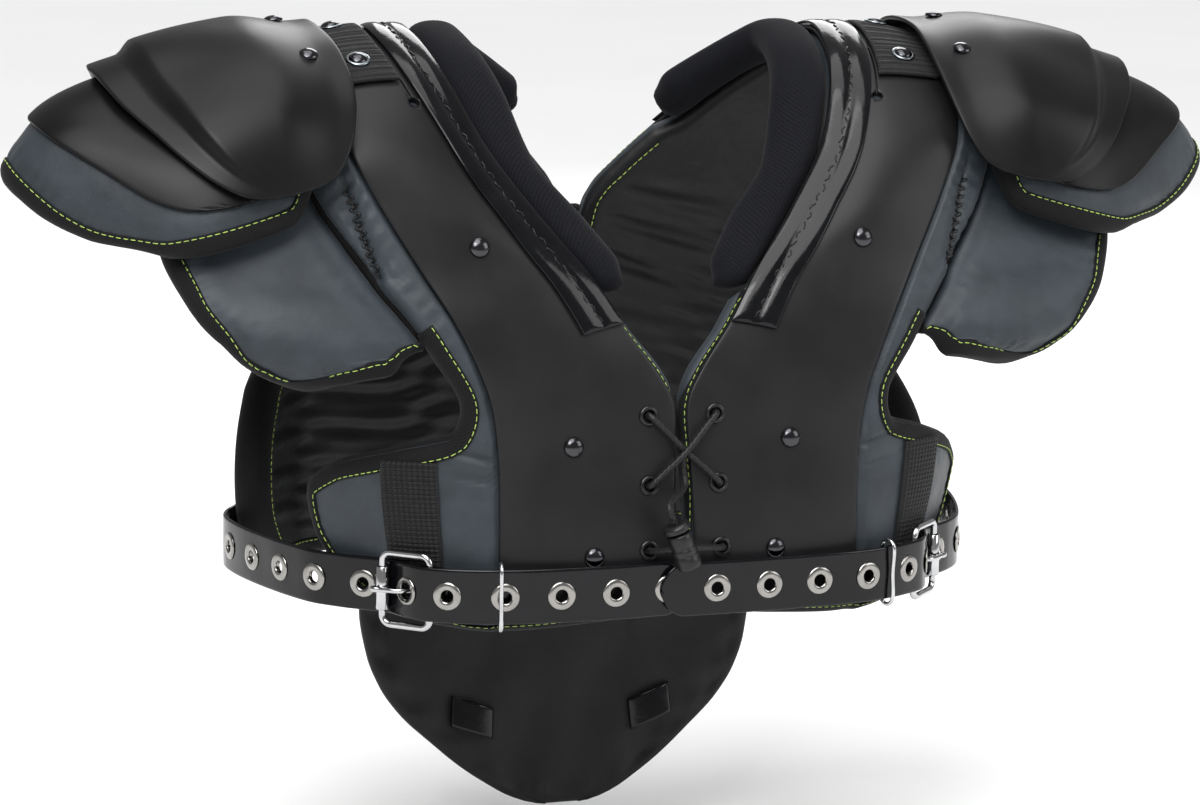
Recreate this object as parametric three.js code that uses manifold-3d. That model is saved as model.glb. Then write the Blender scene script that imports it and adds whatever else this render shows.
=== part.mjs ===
// Football shoulder pad, held up as worn. Millimetres, +Z up, the chest faces -Y.
// The origin is the seat on the shoulders, on the centre plane between the two shoulder crests.
import * as THREE from "three";
import { mergeVertices } from "three/addons/utils/BufferGeometryUtils.js";
import Module from "manifold-3d";

const wasm = await Module();
wasm.setup();

// Driving dimensions of the body, which the tables below take as shares in percent.
const NECK_HALF_WIDTH = 100;
const CHEST_DEPTH = 100;
const BACK_DEPTH = 100;
const CHEST_DROP = 200;
const SHOULDER_RISE = 30;
const EPAULET_ROOT = 150;
const EPAULET_REACH = 140;

// Walls, padding and clearances.
const GAP = 0.35;
const PLATE_WALL = 2.6;
const PAD_PUFF = 1;
const BODY_PADDING = 12;
const DELTOID_PADDING = 12;
const DELTOID_CROWN = 9;
const EPAULET_PADDING = 11;
const CUP_WALL = 2.2;
const CAP_WALL = 2.4;
const CAP_LIFT = 6.5;
const CAP_DOME = 5;
const ROLL_WIDTH = 27;
const ROLL_THICKNESS = 18;
const ROLL_SINK = 3.5;
const TRIM_WIDTH = 19.5;
const TRIM_WALL = 1.3;
const WEBBING_WALL = 1.6;
const SIDE_WEBBING_WIDTH = 25;
const SHOULDER_WEBBING_WIDTH = 64;

// Millimetres between rows at the crest of the shoulder, under the webbing.
const BODY_ROW_PITCH = 28.45;
const EPAULET_ROW_PITCH = 32;

// Fasteners and hardware.
const RIVET_RADIUS = 4.6;
const RIVET_HEIGHT = 2.3;
const EYELET_RADIUS = 4.6;
const EYELET_BORE = 2.7;
const EYELET_LIP = 0.9;
const PLATE_HOLE_RADIUS = 2.6;
const BELT_WIDTH = 25;
const BELT_WALL = 1.8;
const BELT_LIFT = 5;
const BELT_LEVEL = 1.085;
const GROMMET_PITCH = 25.4;
const WEAVE_TAKE_UP = 5;
const GROMMET_RADIUS = 6.5;
const GROMMET_BORE = 2.75;
const GROMMET_LIP = 0.7;
const BUCKLE_HEIGHT = 33;
const BUCKLE_LENGTH = 24;
const BUCKLE_WIRE = 1.6;
const ROLLER_RADIUS = 3;
const PRONG_RADIUS = 1.15;
const PRONG_BORE = 3.9;
const KEEPER_WIRE = 0.9;
const KEEPER_HEIGHT = 30.5;
const TAB_WALL = 1.2;
const TAB_LENGTH = 38;
const LACE_RADIUS = 1.5;
const LOCK_RADIUS = 5.7;
const LOCK_LENGTH = 22;
const FLAP_HALF_WIDTH = 104;
const FLAP_DROP = 136;
const FLAP_PADDING = 8;
const LOOP_SIZE = 20;
const LOOP_RISE = 4.4;
const LOOP_WALL = 1.4;
const LOOP_TURN = 28;
const LOOP_DOWN = 65;
const LOOP_SHARE = 0.58;
const BRIDGE_HALF_WIDTH = 44;

// Belt holes: how many there are beside the prong's, where each belt's first one lies from its
// tip, and where its keeper sits, counted in holes from the prong's.
const BELT_HOLES = 5;
const WEAVE_FADE = 24;
const OVER_BELT = { tip: -14, firstHole: 26.4, keeper: 1.32 };
const UNDER_BELT = { tip: 1, firstHole: 9, keeper: 1.73 };

// Rows of the body across one half, from the front hem over the shoulder to the back hem: the
// neck edge of the plate, its middle, its outer edge, the flank and the side of the ribs.
const BODY_COLUMNS = ["neck", "mid", "edge", "flank", "side"];
const BODY_ROWS = [
  [[4.6, -104, -115], [46, -106, -116.5], [86.5, -98, -118], [120, -73, -117.5], [157, -33, -116]],
  [[4.6, -104, -102], [46, -105, -102], [86.5, -98.5, -102], [123.5, -75, -102.5], [159.5, -32, -102]],
  [[4.2, -102, -90], [46, -103, -90], [86.4, -98, -90], [127, -77, -90.5], [162, -34, -91]],
  [[3.2, -98, -77.5], [47, -99, -77.5], [87, -97.5, -78.5], [129, -78, -78.5], [162, -41, -80]],
  [[3.2, -95, -67], [48, -97, -66.5], [90.5, -97.5, -66], [129, -82, -68], [160, -46, -70]],
  [[11, -92, -59.5], [53, -95, -58.5], [96.5, -96.5, -57.5], [130, -87, -58.5], [158, -55, -60]],
  [[25, -87.5, -50], [64, -91, -47], [106, -92, -47.5], [131, -86, -47.5], [156, -62, -49]],
  [[38, -81.5, -40], [79, -84, -35.5], [119, -82.5, -36.5], [141, -77, -37.5], [164, -58, -38]],
  [[61, -67.5, -25.5], [97, -77, -24], [135, -72, -22.5], [160, -64, -23.5], [180, -48, -25]],
  [[80, -54, -12], [112, -61, -8.5], [147, -62, -10], [171, -50, -11], [188, -36, -14]],
  [[93, -33, 17], [122, -36, 23], [153, -38, 13], [178, -28, 3], [193, -16, -4]],
  [[99, -8, 70], [127, -6, 73], [155, -6, 57], [181, -2, 22], [196, 4, -4]],
  [[101, 22, 93], [128, 22, 90], [155, 22, 70], [182, 22, 25], [197, 22, -2]],
  [[92, 42, 67], [124, 49, 57], [155, 50, 40], [180, 46, -4], [194, 42, -6]],
  [[72, 56, 17], [112, 71, -1.5], [150, 76, -7], [174, 67, -14], [188, 56, -16]],
  [[48, 67, -8], [97, 89, -17], [141, 93, -25], [164, 83, -31.5], [180, 68, -34]],
  [[24, 77, -20], [80, 101, -32], [130, 104, -42], [152, 94, -47], [172, 74, -51]],
  [[9, 84, -30], [68, 107, -45], [117, 110, -56], [146, 98, -60], [172, 68, -64]],
  [[4.6, 91, -45], [59, 111, -59], [106, 112, -68], [144, 96, -71], [175, 50, -74]],
  [[4.6, 98, -61], [54, 113, -72.5], [98, 112, -80], [145, 93, -81.5], [178, 40, -84]],
  [[4.6, 102, -80], [52, 114, -87.5], [95, 111, -92.5], [146, 90, -94], [179, 34, -95]],
  [[4.6, 104, -99], [52, 114, -102.5], [95, 110, -105.5], [145, 89, -106.5], [178, 34, -106]],
  [[4.6, 103, -117.5], [52, 113, -118], [95, 109, -118.5], [144, 88, -118], [174, 36, -117]],
];
const SHOULDER_ROW = 12;

// Outline of the body padding along the rows: its lip past the plate towards the neck, in
// millimetres, and its reach as a column number, 3 at the plate's outer edge and 5 at the side.
const PAD_OUTLINE = [
  { row: 0, lip: 3.4, reach: 3.85 },
  { row: 0.15, lip: 3.4, reach: 4.3 },
  { row: 0.6, lip: 3.4, reach: 4.72 },
  { row: 1.3, lip: 3.4, reach: 4.93 },
  { row: 2.2, lip: 2.2, reach: 4.98 },
  { row: 2.75, lip: 2.2, reach: 4.7 },
  { row: 3.1, lip: 2.2, reach: 4.05 },
  { row: 3.45, lip: 2.2, reach: 3.42 },
  { row: 4, lip: 2.2, reach: 3.32 },
  { row: 4.7, lip: 5, reach: 3.4 },
  { row: 5.45, lip: 6, reach: 3.58 },
  { row: 6.15, lip: 6, reach: 3.85 },
  { row: 6.7, lip: 6, reach: 4 },
  { row: 6.9, lip: 0.3, reach: 4 },
  { row: 8, lip: 0.3, reach: 4 },
  { row: 9, lip: 0.3, reach: 4 },
  { row: 10, lip: 0.3, reach: 4 },
  { row: 11, lip: 0.3, reach: 4 },
  { row: 12, lip: 0.3, reach: 4 },
  { row: 13, lip: 0.3, reach: 4 },
  { row: 14, lip: 0.3, reach: 4 },
  { row: 15, lip: 0.3, reach: 4 },
  { row: 15.3, lip: 6, reach: 4 },
  { row: 16.3, lip: 6, reach: 4 },
  { row: 17.2, lip: 3.8, reach: 4.2 },
  { row: 18, lip: 3.4, reach: 4.8 },
  { row: 20, lip: 3.4, reach: 5 },
  { row: 21.7, lip: 3.4, reach: 4.8 },
  { row: 22, lip: 3.4, reach: 4.4 },
];

// Rows of the deltoid lobe: where its inner edge joins the body's rows, or the edge itself
// where it hangs free, and its outer edge, both with x as shares of the epaulet's reach.
const DELTOID_ROWS = [
  { inner: [7, -84, -61], outer: [26, -78, -60.5] },
  { inner: [-8, -92, -58.5], outer: [35, -77, -57] },
  { join: 5.45, outer: [42, -79, -52] },
  { join: 6.15, outer: [49, -74, -46] },
  { join: 6.7, outer: [53, -68, -40] },
  { join: 8, outer: [57.5, -56, -32] },
  { join: 9, outer: [58, -43, -24] },
  { join: 10, outer: [56, -22, -16] },
  { join: 11, outer: [56, 0, -12] },
  { join: 12, outer: [54, 18, -11] },
  { join: 13, outer: [49, 38, -13] },
  { join: 14, outer: [42, 54, -17] },
  { join: 15, outer: [36, 64, -28] },
  { join: 16.3, outer: [29, 74, -46] },
  { join: 17.2, outer: [20, 80, -57] },
];

// Rows of the epaulet from its front edge over the crest to its back edge, with x as shares
// of the epaulet's reach: root, ridge, shoulder, brow and tip.
const EPAULET_COLUMNS = ["root", "ridge", "shoulder", "brow", "tip"];
const EPAULET_ROWS = [
  [[7, -75, -23.2], [24, -81, -27], [43, -82, -30.5], [58, -73, -33], [71, -57, -34]],
  [[1, -71, -14.5], [23, -77, -18], [44, -78, -21.5], [66, -67, -25.5], [82, -50, -31]],
  [[-5, -55, -1.5], [22, -62, -4], [48, -63, -9], [77, -54, -15], [95, -42, -24.5]],
  [[-5, -29, 50], [24, -34, 40], [51, -37, 3], [87, -37, -6], [103.5, -31, -18.5]],
  [[-3, -2, 80], [26, -3, 73], [53, -7, 50], [90, -13, -2], [106, -18, -15.5]],
  [[-3, 34, 80], [25, 34, 64], [52, 30, 30], [85, 18, -4], [102, 3, -18]],
  [[-3, 66, 13], [23, 72, -1], [48, 68, -7], [75, 50, -14], [92, 26, -26]],
  [[1, 88, -14], [23, 92, -17.5], [44, 88, -21], [64, 72, -25], [80, 46, -31]],
  [[7, 94, -23], [23, 97, -27], [40, 95, -31], [55, 82, -33], [69, 62, -34]],
];

// Outlines on the epaulet's rows, from the front edge to the crest row and mirrored behind it.
const EPAULET_PAD_OUTLINE = [
  { row: 0, from: 0.6, to: 2.9 },
  { row: 0.15, from: 0.42, to: 3.4 },
  { row: 0.45, from: 0.38, to: 3.75 },
  { row: 1, from: 0.4, to: 3.93 },
  { row: 1.8, from: 0.62, to: 4 },
  { row: 2.8, from: 0.95, to: 4 },
  { row: 4, from: 1, to: 4 },
];
const CUP_OUTLINE = [
  { row: 0.92, from: 1.1, to: 1.75 },
  { row: 1.04, from: 0.75, to: 2.3 },
  { row: 1.4, from: 0.5, to: 2.7 },
  { row: 2.1, from: 0.36, to: 2.95 },
  { row: 3, from: 0.28, to: 3.15 },
  { row: 4, from: 0.26, to: 3.22 },
];
const CAP_OUTLINE = [
  { row: 0.78, from: 0.45, to: 1.02 },
  { row: 0.88, from: 0.18, to: 1.35 },
  { row: 1.1, from: 0.05, to: 1.68 },
  { row: 1.5, from: 0, to: 2.02 },
  { row: 2.15, from: 0, to: 2.28 },
  { row: 3, from: 0, to: 2.46 },
  { row: 4, from: 0, to: 2.52 },
];

// Rows of the tail flap down from the back hem: depth of its inner face and half width.
const FLAP_ROWS = [
  { down: 0, depth: 96, half: 100 },
  { down: 24, depth: 93, half: 100 },
  { down: 40, depth: 89.5, half: 97 },
  { down: 52, depth: 86.5, half: 91 },
  { down: 63, depth: 84, half: 81 },
  { down: 74, depth: 81.5, half: 66 },
  { down: 84, depth: 79.5, half: 48 },
  { down: 93, depth: 77.5, half: 29 },
  { down: 100, depth: 76, half: 9 },
];

// Fasteners as places on the body's or the epaulet's rows.
const PLATE_RIVETS = {
  rivet_upper: { row: 7.34, column: 2.17 },
  rivet_mid: { row: 3.13, column: 2.12 },
  rivet_low: { row: 1.08, column: 1.94 },
};
const EYELETS = {
  eyelet_top: { row: 3.7, column: 1.3 },
  eyelet_mid: { row: 2.36, column: 1.3 },
  eyelet_low: { row: 1.16, column: 1.31 },
};
const WEBBING_RIVETS = {
  strap_rivet_front: { across: 0.27, along: 0.2 },
  strap_rivet_top: { across: 0.27, along: 0.82 },
};
const CAP_RIVETS = {
  cap_rivet_front: { row: 2.95, column: 0.4 },
  cap_rivet_top: { row: 4.4, column: 0.45 },
};
const PLATE_HOLE = { row: 9.65, column: 1.78 };

const SIDES = { left: 1, right: -1 };
const finish = (color, roughness, metalness = 0) => ({ color, roughness, metalness });
const FINISHES = {
  plate: finish(0x2b2b2e, 0.42),
  padding: finish(0x3f484f, 0.6),
  lining: finish(0x101013, 0.65),
  knit: finish(0x0e0e16, 0.95),
  vinyl: finish(0x0a0a0c, 0.12),
  webbing: finish(0x131314, 0.8),
  nickel: finish(0xcfc6b4, 0.25, 1),
  chrome: finish(0xd6d6d8, 0.12, 1),
  rivet: finish(0x4a4d52, 0.15, 1),
  cord: finish(0x0f0f10, 0.9),
};

const group = new THREE.Group();

function addMesh(name, geometry, finishName) {
  const mesh = new THREE.Mesh(geometry, new THREE.MeshStandardMaterial(FINISHES[finishName]));
  mesh.name = name;
  group.add(mesh);
}

// The mirror image of a geometry across the centre plane, with its faces turned back outwards.
function mirrored(geometry) {
  const copy = geometry.clone();
  copy.scale(-1, 1, 1);
  const index = copy.index.array;
  for (let i = 0; i < index.length; i += 3) {
    [index[i + 1], index[i + 2]] = [index[i + 2], index[i + 1]];
  }
  return copy;
}

function addPair(name, geometry, finishName) {
  addMesh(`${name}_left`, geometry, finishName);
  addMesh(`${name}_right`, mirrored(geometry), finishName);
}

// A point from shares in percent of the body's driving dimensions.
function bodyPoint([x, y, z]) {
  return new THREE.Vector3(
    (x / 100) * NECK_HALF_WIDTH,
    (y / 100) * (y < 0 ? CHEST_DEPTH : BACK_DEPTH),
    (z / 100) * (z < 0 ? CHEST_DROP : SHOULDER_RISE),
  );
}

function epauletPoint([x, y, z]) {
  const point = bodyPoint([0, y, z]);
  point.x = (EPAULET_ROOT / 100) * NECK_HALF_WIDTH + (x / 100) * EPAULET_REACH;
  return point;
}

// A smooth surface through rows of named points: point(row, column), columns counted from 1.
function smoothSurface(rows, columns, toPoint) {
  const rails = columns.map((_, column) => {
    const points = rows.map((row) => toPoint(row[column]));
    return new THREE.CatmullRomCurve3(points, false, "centripetal");
  });
  return (row, column) => {
    const t = THREE.MathUtils.clamp(row / (rows.length - 1), 0, 1);
    const across = new THREE.CatmullRomCurve3(rails.map((rail) => rail.getPoint(t)), false, "centripetal");
    return across.getPoint(THREE.MathUtils.clamp((column - 1) / (columns.length - 1), 0, 1));
  };
}

// The faceted grid of a surface, with a point and an outward normal at each knot.
function facetedSurface(pointAt, rowKnots, columnKnots) {
  const step = 0.02;
  const lastRow = rowKnots[rowKnots.length - 1];
  const lastColumn = columnKnots[columnKnots.length - 1];
  const knots = rowKnots.map((row) => columnKnots.map((column) => {
    const [before, after] = [Math.max(row - step, rowKnots[0]), Math.min(row + step, lastRow)];
    const [inner, outer] = [Math.max(column - step, columnKnots[0]), Math.min(column + step, lastColumn)];
    const along = pointAt(after, column).sub(pointAt(before, column));
    const across = pointAt(row, outer).sub(pointAt(row, inner));
    return { point: pointAt(row, column), normal: across.cross(along).normalize() };
  }));
  const bracket = (list, value) => {
    let i = 0;
    while (i < list.length - 2 && value > list[i + 1]) i += 1;
    return [i, (value - list[i]) / (list[i + 1] - list[i])];
  };
  // The place at a row and column, lifted off the surface along its normal.
  return (row, column, lift = 0) => {
    const [i, u] = bracket(rowKnots, row);
    const [j, v] = bracket(columnKnots, column);
    const blend = (key) => {
      const low = knots[i][j][key].clone().lerp(knots[i][j + 1][key], v);
      const high = knots[i + 1][j][key].clone().lerp(knots[i + 1][j + 1][key], v);
      return low.lerp(high, u);
    };
    const normal = blend("normal").normalize();
    return { point: blend("point").addScaledVector(normal, lift), normal };
  };
}

function closedGeometry(positions, index) {
  const raw = new THREE.BufferGeometry();
  raw.setAttribute("position", new THREE.Float32BufferAttribute(positions, 3));
  raw.setIndex(index);
  const merged = mergeVertices(raw, 1e-3);
  const kept = [];
  const source = merged.index.array;
  for (let i = 0; i < source.length; i += 3) {
    const [a, b, c] = [source[i], source[i + 1], source[i + 2]];
    if (a !== b && b !== c && c !== a) kept.push(a, b, c);
  }
  merged.setIndex(kept);
  return merged;
}

// A closed shell between two matching grids of points, rows by columns.
function shell(top, bottom) {
  const rows = top.length;
  const columns = top[0].length;
  const positions = [...top.flat(), ...bottom.flat()].flatMap((p) => [p.x, p.y, p.z]);
  const index = [];
  const quad = (a, b, c, d) => index.push(a, b, c, a, c, d);
  const upper = (i, j) => i * columns + j;
  const lower = (i, j) => (rows + i) * columns + j;
  for (let i = 0; i < rows - 1; i += 1) {
    for (let j = 0; j < columns - 1; j += 1) {
      quad(upper(i, j), upper(i, j + 1), upper(i + 1, j + 1), upper(i + 1, j));
      quad(lower(i, j), lower(i + 1, j), lower(i + 1, j + 1), lower(i, j + 1));
    }
    quad(upper(i, 0), upper(i + 1, 0), lower(i + 1, 0), lower(i, 0));
    quad(upper(i, columns - 1), lower(i, columns - 1), lower(i + 1, columns - 1), upper(i + 1, columns - 1));
  }
  for (let j = 0; j < columns - 1; j += 1) {
    quad(upper(0, j), lower(0, j), lower(0, j + 1), upper(0, j + 1));
    quad(upper(rows - 1, j), upper(rows - 1, j + 1), lower(rows - 1, j + 1), lower(rows - 1, j));
  }
  return closedGeometry(positions, index);
}

// A shell on a surface: rows of {row, columns} and lifts(onRim, row, column) giving its upper
// and lower height over the surface.
function layer(surface, rows, lifts) {
  const top = [];
  const bottom = [];
  rows.forEach(({ row, columns, skew }, i) => {
    const last = columns.length - 1;
    const edgeRow = i === 0 || i === rows.length - 1;
    const heights = columns.map((column, j) => lifts(edgeRow || j === 0 || j === last, row, column));
    const rowAt = (j) => row + (skew ? skew * (j / last) : 0);
    top.push(columns.map((column, j) => surface(rowAt(j), column, heights[j][0]).point));
    bottom.push(columns.map((column, j) => surface(rowAt(j), column, heights[j][1]).point));
  });
  return shell(top, bottom);
}

function evenly(from, to, count) {
  return Array.from({ length: count + 1 }, (_, i) => from + ((to - from) * i) / count);
}

// Solids for cutting and joining.
function toSolid(geometry) {
  const bare = new THREE.BufferGeometry();
  const flat = geometry.index ? geometry.toNonIndexed() : geometry;
  bare.setAttribute("position", flat.getAttribute("position"));
  const merged = mergeVertices(bare, 1e-4);
  return new wasm.Manifold(new wasm.Mesh({
    numProp: 3,
    vertProperties: new Float32Array(merged.attributes.position.array),
    triVerts: new Uint32Array(merged.index.array),
  }));
}

function toGeometry(solid) {
  const mesh = solid.getMesh();
  const positions = [];
  for (let i = 0; i < mesh.vertProperties.length; i += mesh.numProp) {
    positions.push(...mesh.vertProperties.slice(i, i + 3));
  }
  const geometry = new THREE.BufferGeometry();
  geometry.setAttribute("position", new THREE.Float32BufferAttribute(positions, 3));
  geometry.setIndex([...mesh.triVerts]);
  return geometry;
}

// Turns a geometry made along +Z so that it stands at a point along a direction.
function standing(geometry, point, direction) {
  const up = new THREE.Vector3(0, 0, 1);
  const turn = new THREE.Quaternion().setFromUnitVectors(up, direction.clone().normalize());
  return geometry.applyQuaternion(turn).translate(point.x, point.y, point.z);
}

// A solid of revolution about +Z from (radius, height) pairs.
function turned(profile, sides) {
  const points = profile.map(([radius, height]) => new THREE.Vector2(radius, height));
  return new THREE.LatheGeometry(points, sides).rotateX(Math.PI / 2);
}

function domedRivet(place, radius = RIVET_RADIUS, height = RIVET_HEIGHT) {
  const head = turned([[0, GAP], [radius, GAP], [radius * 0.68, height], [0, height * 1.15]], 8);
  return standing(head, place.point, place.normal);
}

// A round wire along a route, as an extruded section.
function wire(points, radius, sides, steps, closed = false) {
  const section = new THREE.Shape(evenly(0, 1, sides).slice(0, sides).map((turn) => {
    const angle = turn * 2 * Math.PI;
    return new THREE.Vector2(radius * Math.cos(angle), radius * Math.sin(angle));
  }));
  const path = new THREE.CatmullRomCurve3(points, closed, "centripetal");
  if (closed) return new THREE.TubeGeometry(path, steps, radius, sides, true);
  return new THREE.ExtrudeGeometry(section, { extrudePath: path, steps, bevelEnabled: false });
}

// The body's surface, which the plate, the padding and all that lies on them share.
const rowKnots = PAD_OUTLINE.map(({ row }) => row);
const plateColumns = [1, 1.5, 2.2, 3];
const bodySmooth = smoothSurface(BODY_ROWS, BODY_COLUMNS, bodyPoint);
const body = facetedSurface(bodySmooth, rowKnots, [...plateColumns, 3.5, 4, 4.5, 5]);
const plateRows = rowKnots.slice(1, -1);

// Length across the body's rows for one column, near the neck edge.
const columnLength = (row) => 2 * body(row, 1).point.distanceTo(body(row, 1.5).point);

function plate() {
  const sheet = layer(body, plateRows.map((row) => ({ row, columns: plateColumns })), () => [0, -PLATE_WALL]);
  let solid = toSolid(sheet);
  const bores = Object.values(EYELETS).map((spot) => ({ ...spot, radius: EYELET_BORE + 0.6 }));
  bores.push({ ...PLATE_HOLE, radius: PLATE_HOLE_RADIUS });
  for (const bore of bores) {
    const place = body(bore.row, bore.column, -PLATE_WALL / 2);
    const drill = new THREE.CylinderGeometry(bore.radius, bore.radius, PLATE_WALL * 3, 8);
    drill.rotateX(Math.PI / 2);
    solid = solid.subtract(toSolid(standing(drill, place.point, place.normal)));
  }
  return toGeometry(solid);
}

function bodyPad() {
  const under = -PLATE_WALL - GAP;
  const rows = PAD_OUTLINE.map(({ row, lip, reach }) => {
    const past = [0.4, 0.8, 1].map((share) => 3 + (reach - 3) * share);
    return { row, columns: [1 - lip / columnLength(row), ...plateColumns, ...past] };
  });
  return layer(body, rows, (onRim, row, column) => {
    if (onRim) return [under - 1.5, under - BODY_PADDING * 0.6];
    return [column > 3.01 ? PAD_PUFF : under, under - BODY_PADDING];
  });
}

// The deltoid lobe is ruled between its inner and outer edges and crowned between them.
const reachAt = (row) => PAD_OUTLINE.find((knot) => knot.row >= row).reach;

function deltoidEdges(entry) {
  const outer = epauletPoint(entry.outer);
  if (entry.inner) return { inner: epauletPoint(entry.inner), outer };
  const reach = reachAt(entry.join);
  const rim = body(entry.join, reach, -PLATE_WALL - GAP - 1.5).point;
  const away = rim.clone().sub(body(entry.join, reach - 0.2, -PLATE_WALL).point).normalize();
  return { inner: rim.addScaledVector(away, 2 * GAP), outer };
}

function deltoidPad() {
  const edges = DELTOID_ROWS.map(deltoidEdges);
  const inner = edges.map((edge) => edge.inner);
  const outer = edges.map((edge) => edge.outer);
  const shares = [0, 0.15, 0.5, 0.85, 1];
  const last = inner.length - 1;
  const flat = (i, share) => inner[i].clone().lerp(outer[i], share);
  const top = [];
  const bottom = [];
  for (let i = 0; i <= last; i += 1) {
    const lobe = Math.min(1, Math.max(0, (Math.abs(i - last / 2) - 3) / 2));
    const crown = DELTOID_CROWN * (0.25 + 0.75 * lobe);
    const points = shares.map((share) => flat(i, share));
    const along = flat(Math.min(i + 1, last), 0.5).sub(flat(Math.max(i - 1, 0), 0.5));
    const normal = outer[i].clone().sub(inner[i]).cross(along).normalize();
    const onRim = (j) => i === 0 || i === last || j === 0 || j === shares.length - 1;
    const rise = (j) => (onRim(j) ? 0 : crown * 4 * shares[j] * (1 - shares[j]) + 1);
    const under = (j) => (onRim(j) ? -DELTOID_PADDING * 0.5 : rise(j) - DELTOID_PADDING);
    top.push(points.map((p, j) => p.clone().addScaledVector(normal, rise(j))));
    bottom.push(points.map((p, j) => p.clone().addScaledVector(normal, under(j))));
  }
  return shell(top, bottom);
}

// The epaulet's surface carries its pad, its cup and its cap.
const epauletSmooth = smoothSurface(EPAULET_ROWS, EPAULET_COLUMNS, epauletPoint);
const epaulet = facetedSurface(
  (row, column) => epauletSmooth(row, column + 1),
  evenly(0, EPAULET_ROWS.length - 1, 24),
  evenly(0, 4, 16),
);
const crestRow = (EPAULET_ROWS.length - 1) / 2;

function wholeOutline(front) {
  const back = front.slice(0, -1).reverse().map((knot) => ({ ...knot, row: 2 * crestRow - knot.row }));
  return [...front, ...back];
}

// Rows of an outline, with their inner columns on common knots so that layers lie flat together.
function outlineRows(front, knots) {
  const rim = 0.04;
  return wholeOutline(front).map(({ row, from, to }) => {
    const inner = knots.map((knot, i) => (
      THREE.MathUtils.clamp(knot, from + rim * (i + 1), to - rim * (knots.length - i))
    ));
    return { row, columns: [from, ...inner, to] };
  });
}

// The outline at a row of the epaulet's front half, by straight interpolation.
function outlineAt(front, row) {
  let i = 0;
  while (i < front.length - 2 && row > front[i + 1].row) i += 1;
  const mix = (row - front[i].row) / (front[i + 1].row - front[i].row);
  return {
    row,
    from: THREE.MathUtils.lerp(front[i].from, front[i + 1].from, mix),
    to: THREE.MathUtils.lerp(front[i].to, front[i + 1].to, mix),
  };
}

// Inner columns that the pad and the cup share.
const EPAULET_KNOTS = [1.1, 1.65, 2.15, 2.7];

function epauletPad() {
  const padRows = [0, 0.15, 0.5, ...CUP_OUTLINE.map(({ row }) => row)];
  const outline = padRows.map((row) => outlineAt(EPAULET_PAD_OUTLINE, row));
  const rows = outlineRows(outline, [...EPAULET_KNOTS, 3.7]);
  const under = -CUP_WALL - 2 * GAP;
  return layer(epaulet, rows, (onRim) => (
    onRim ? [under - 2.5, under - EPAULET_PADDING * 0.75] : [under, under - EPAULET_PADDING]
  ));
}

function epauletCup() {
  const rows = outlineRows(CUP_OUTLINE, EPAULET_KNOTS);
  return layer(epaulet, rows, () => [0, -CUP_WALL]);
}

// Height of the cap's dome inside its flat flange.
function domeHeight(row, column) {
  const fromCrest = Math.abs(row - crestRow);
  const { from, to } = outlineAt(CAP_OUTLINE, crestRow - fromCrest);
  const outer = THREE.MathUtils.smoothstep(to - column, 0.22, 0.55);
  const inner = THREE.MathUtils.smoothstep(column - from, 0.2, 1);
  const ends = 1 - THREE.MathUtils.smoothstep(fromCrest, 1.4, 3);
  return CAP_DOME * outer * inner * ends;
}

// The cap's upper and lower heights over the epaulet's surface.
function capHeights(onRim, row, column) {
  const dome = onRim ? 0 : domeHeight(row, column);
  return [CAP_LIFT + dome, CAP_LIFT + dome - CAP_WALL];
}

const capRows = outlineRows(CAP_OUTLINE, [0.4, 0.9, 1.4, 1.8, 2.1]);
const epauletCap = () => layer(epaulet, capRows, capHeights);

// A place on the cap's faceted top.
function capPlace({ row, column }) {
  const span = (list, value) => {
    let i = 0;
    while (i < list.length - 2 && value > list[i + 1]) i += 1;
    return [i, (value - list[i]) / (list[i + 1] - list[i])];
  };
  const mixed = (a, b, mix) => ({
    point: a.point.lerp(b.point, mix),
    normal: a.normal.lerp(b.normal, mix).normalize(),
  });
  const [i, along] = span(capRows.map((entry) => entry.row), row);
  const onRow = (entry) => {
    const [j, across] = span(entry.columns, column);
    const top = (k) => capHeights(k === 0, entry.row, entry.columns[k])[0];
    const at = (k) => epaulet(entry.row, entry.columns[k], top(k));
    return mixed(at(j), at(j + 1), across);
  };
  return mixed(onRow(capRows[i]), onRow(capRows[i + 1]), along);
}

// A padded roll along the neck edge of the plate.
function neckRoll() {
  const rows = [6.98, 7.1, 7.5, 8.4, 9.2, 10, 11, 12, 13, 14, 14.7, 15];
  const sides = 7;
  const rings = rows.map((row, i) => {
    const edge = body(row, 1, -PLATE_WALL);
    const away = edge.point.clone().sub(body(row, 1.5, -PLATE_WALL).point).normalize();
    const end = i === 0 || i === rows.length - 1 ? 0.72 : 1;
    const half = (ROLL_WIDTH / 2) * (row < 7.3 || row > 14.5 ? 0.75 : 1);
    const centre = edge.point.clone().addScaledVector(away, half + 4 * GAP);
    centre.addScaledVector(edge.normal, -ROLL_SINK);
    return evenly(0, 1, sides).slice(0, sides).map((turn) => {
      const angle = turn * 2 * Math.PI;
      return centre.clone()
        .addScaledVector(away, -half * end * Math.cos(angle))
        .addScaledVector(edge.normal, (ROLL_THICKNESS / 2) * end * Math.sin(angle));
    });
  });
  return tubeThrough(rings);
}

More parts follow.
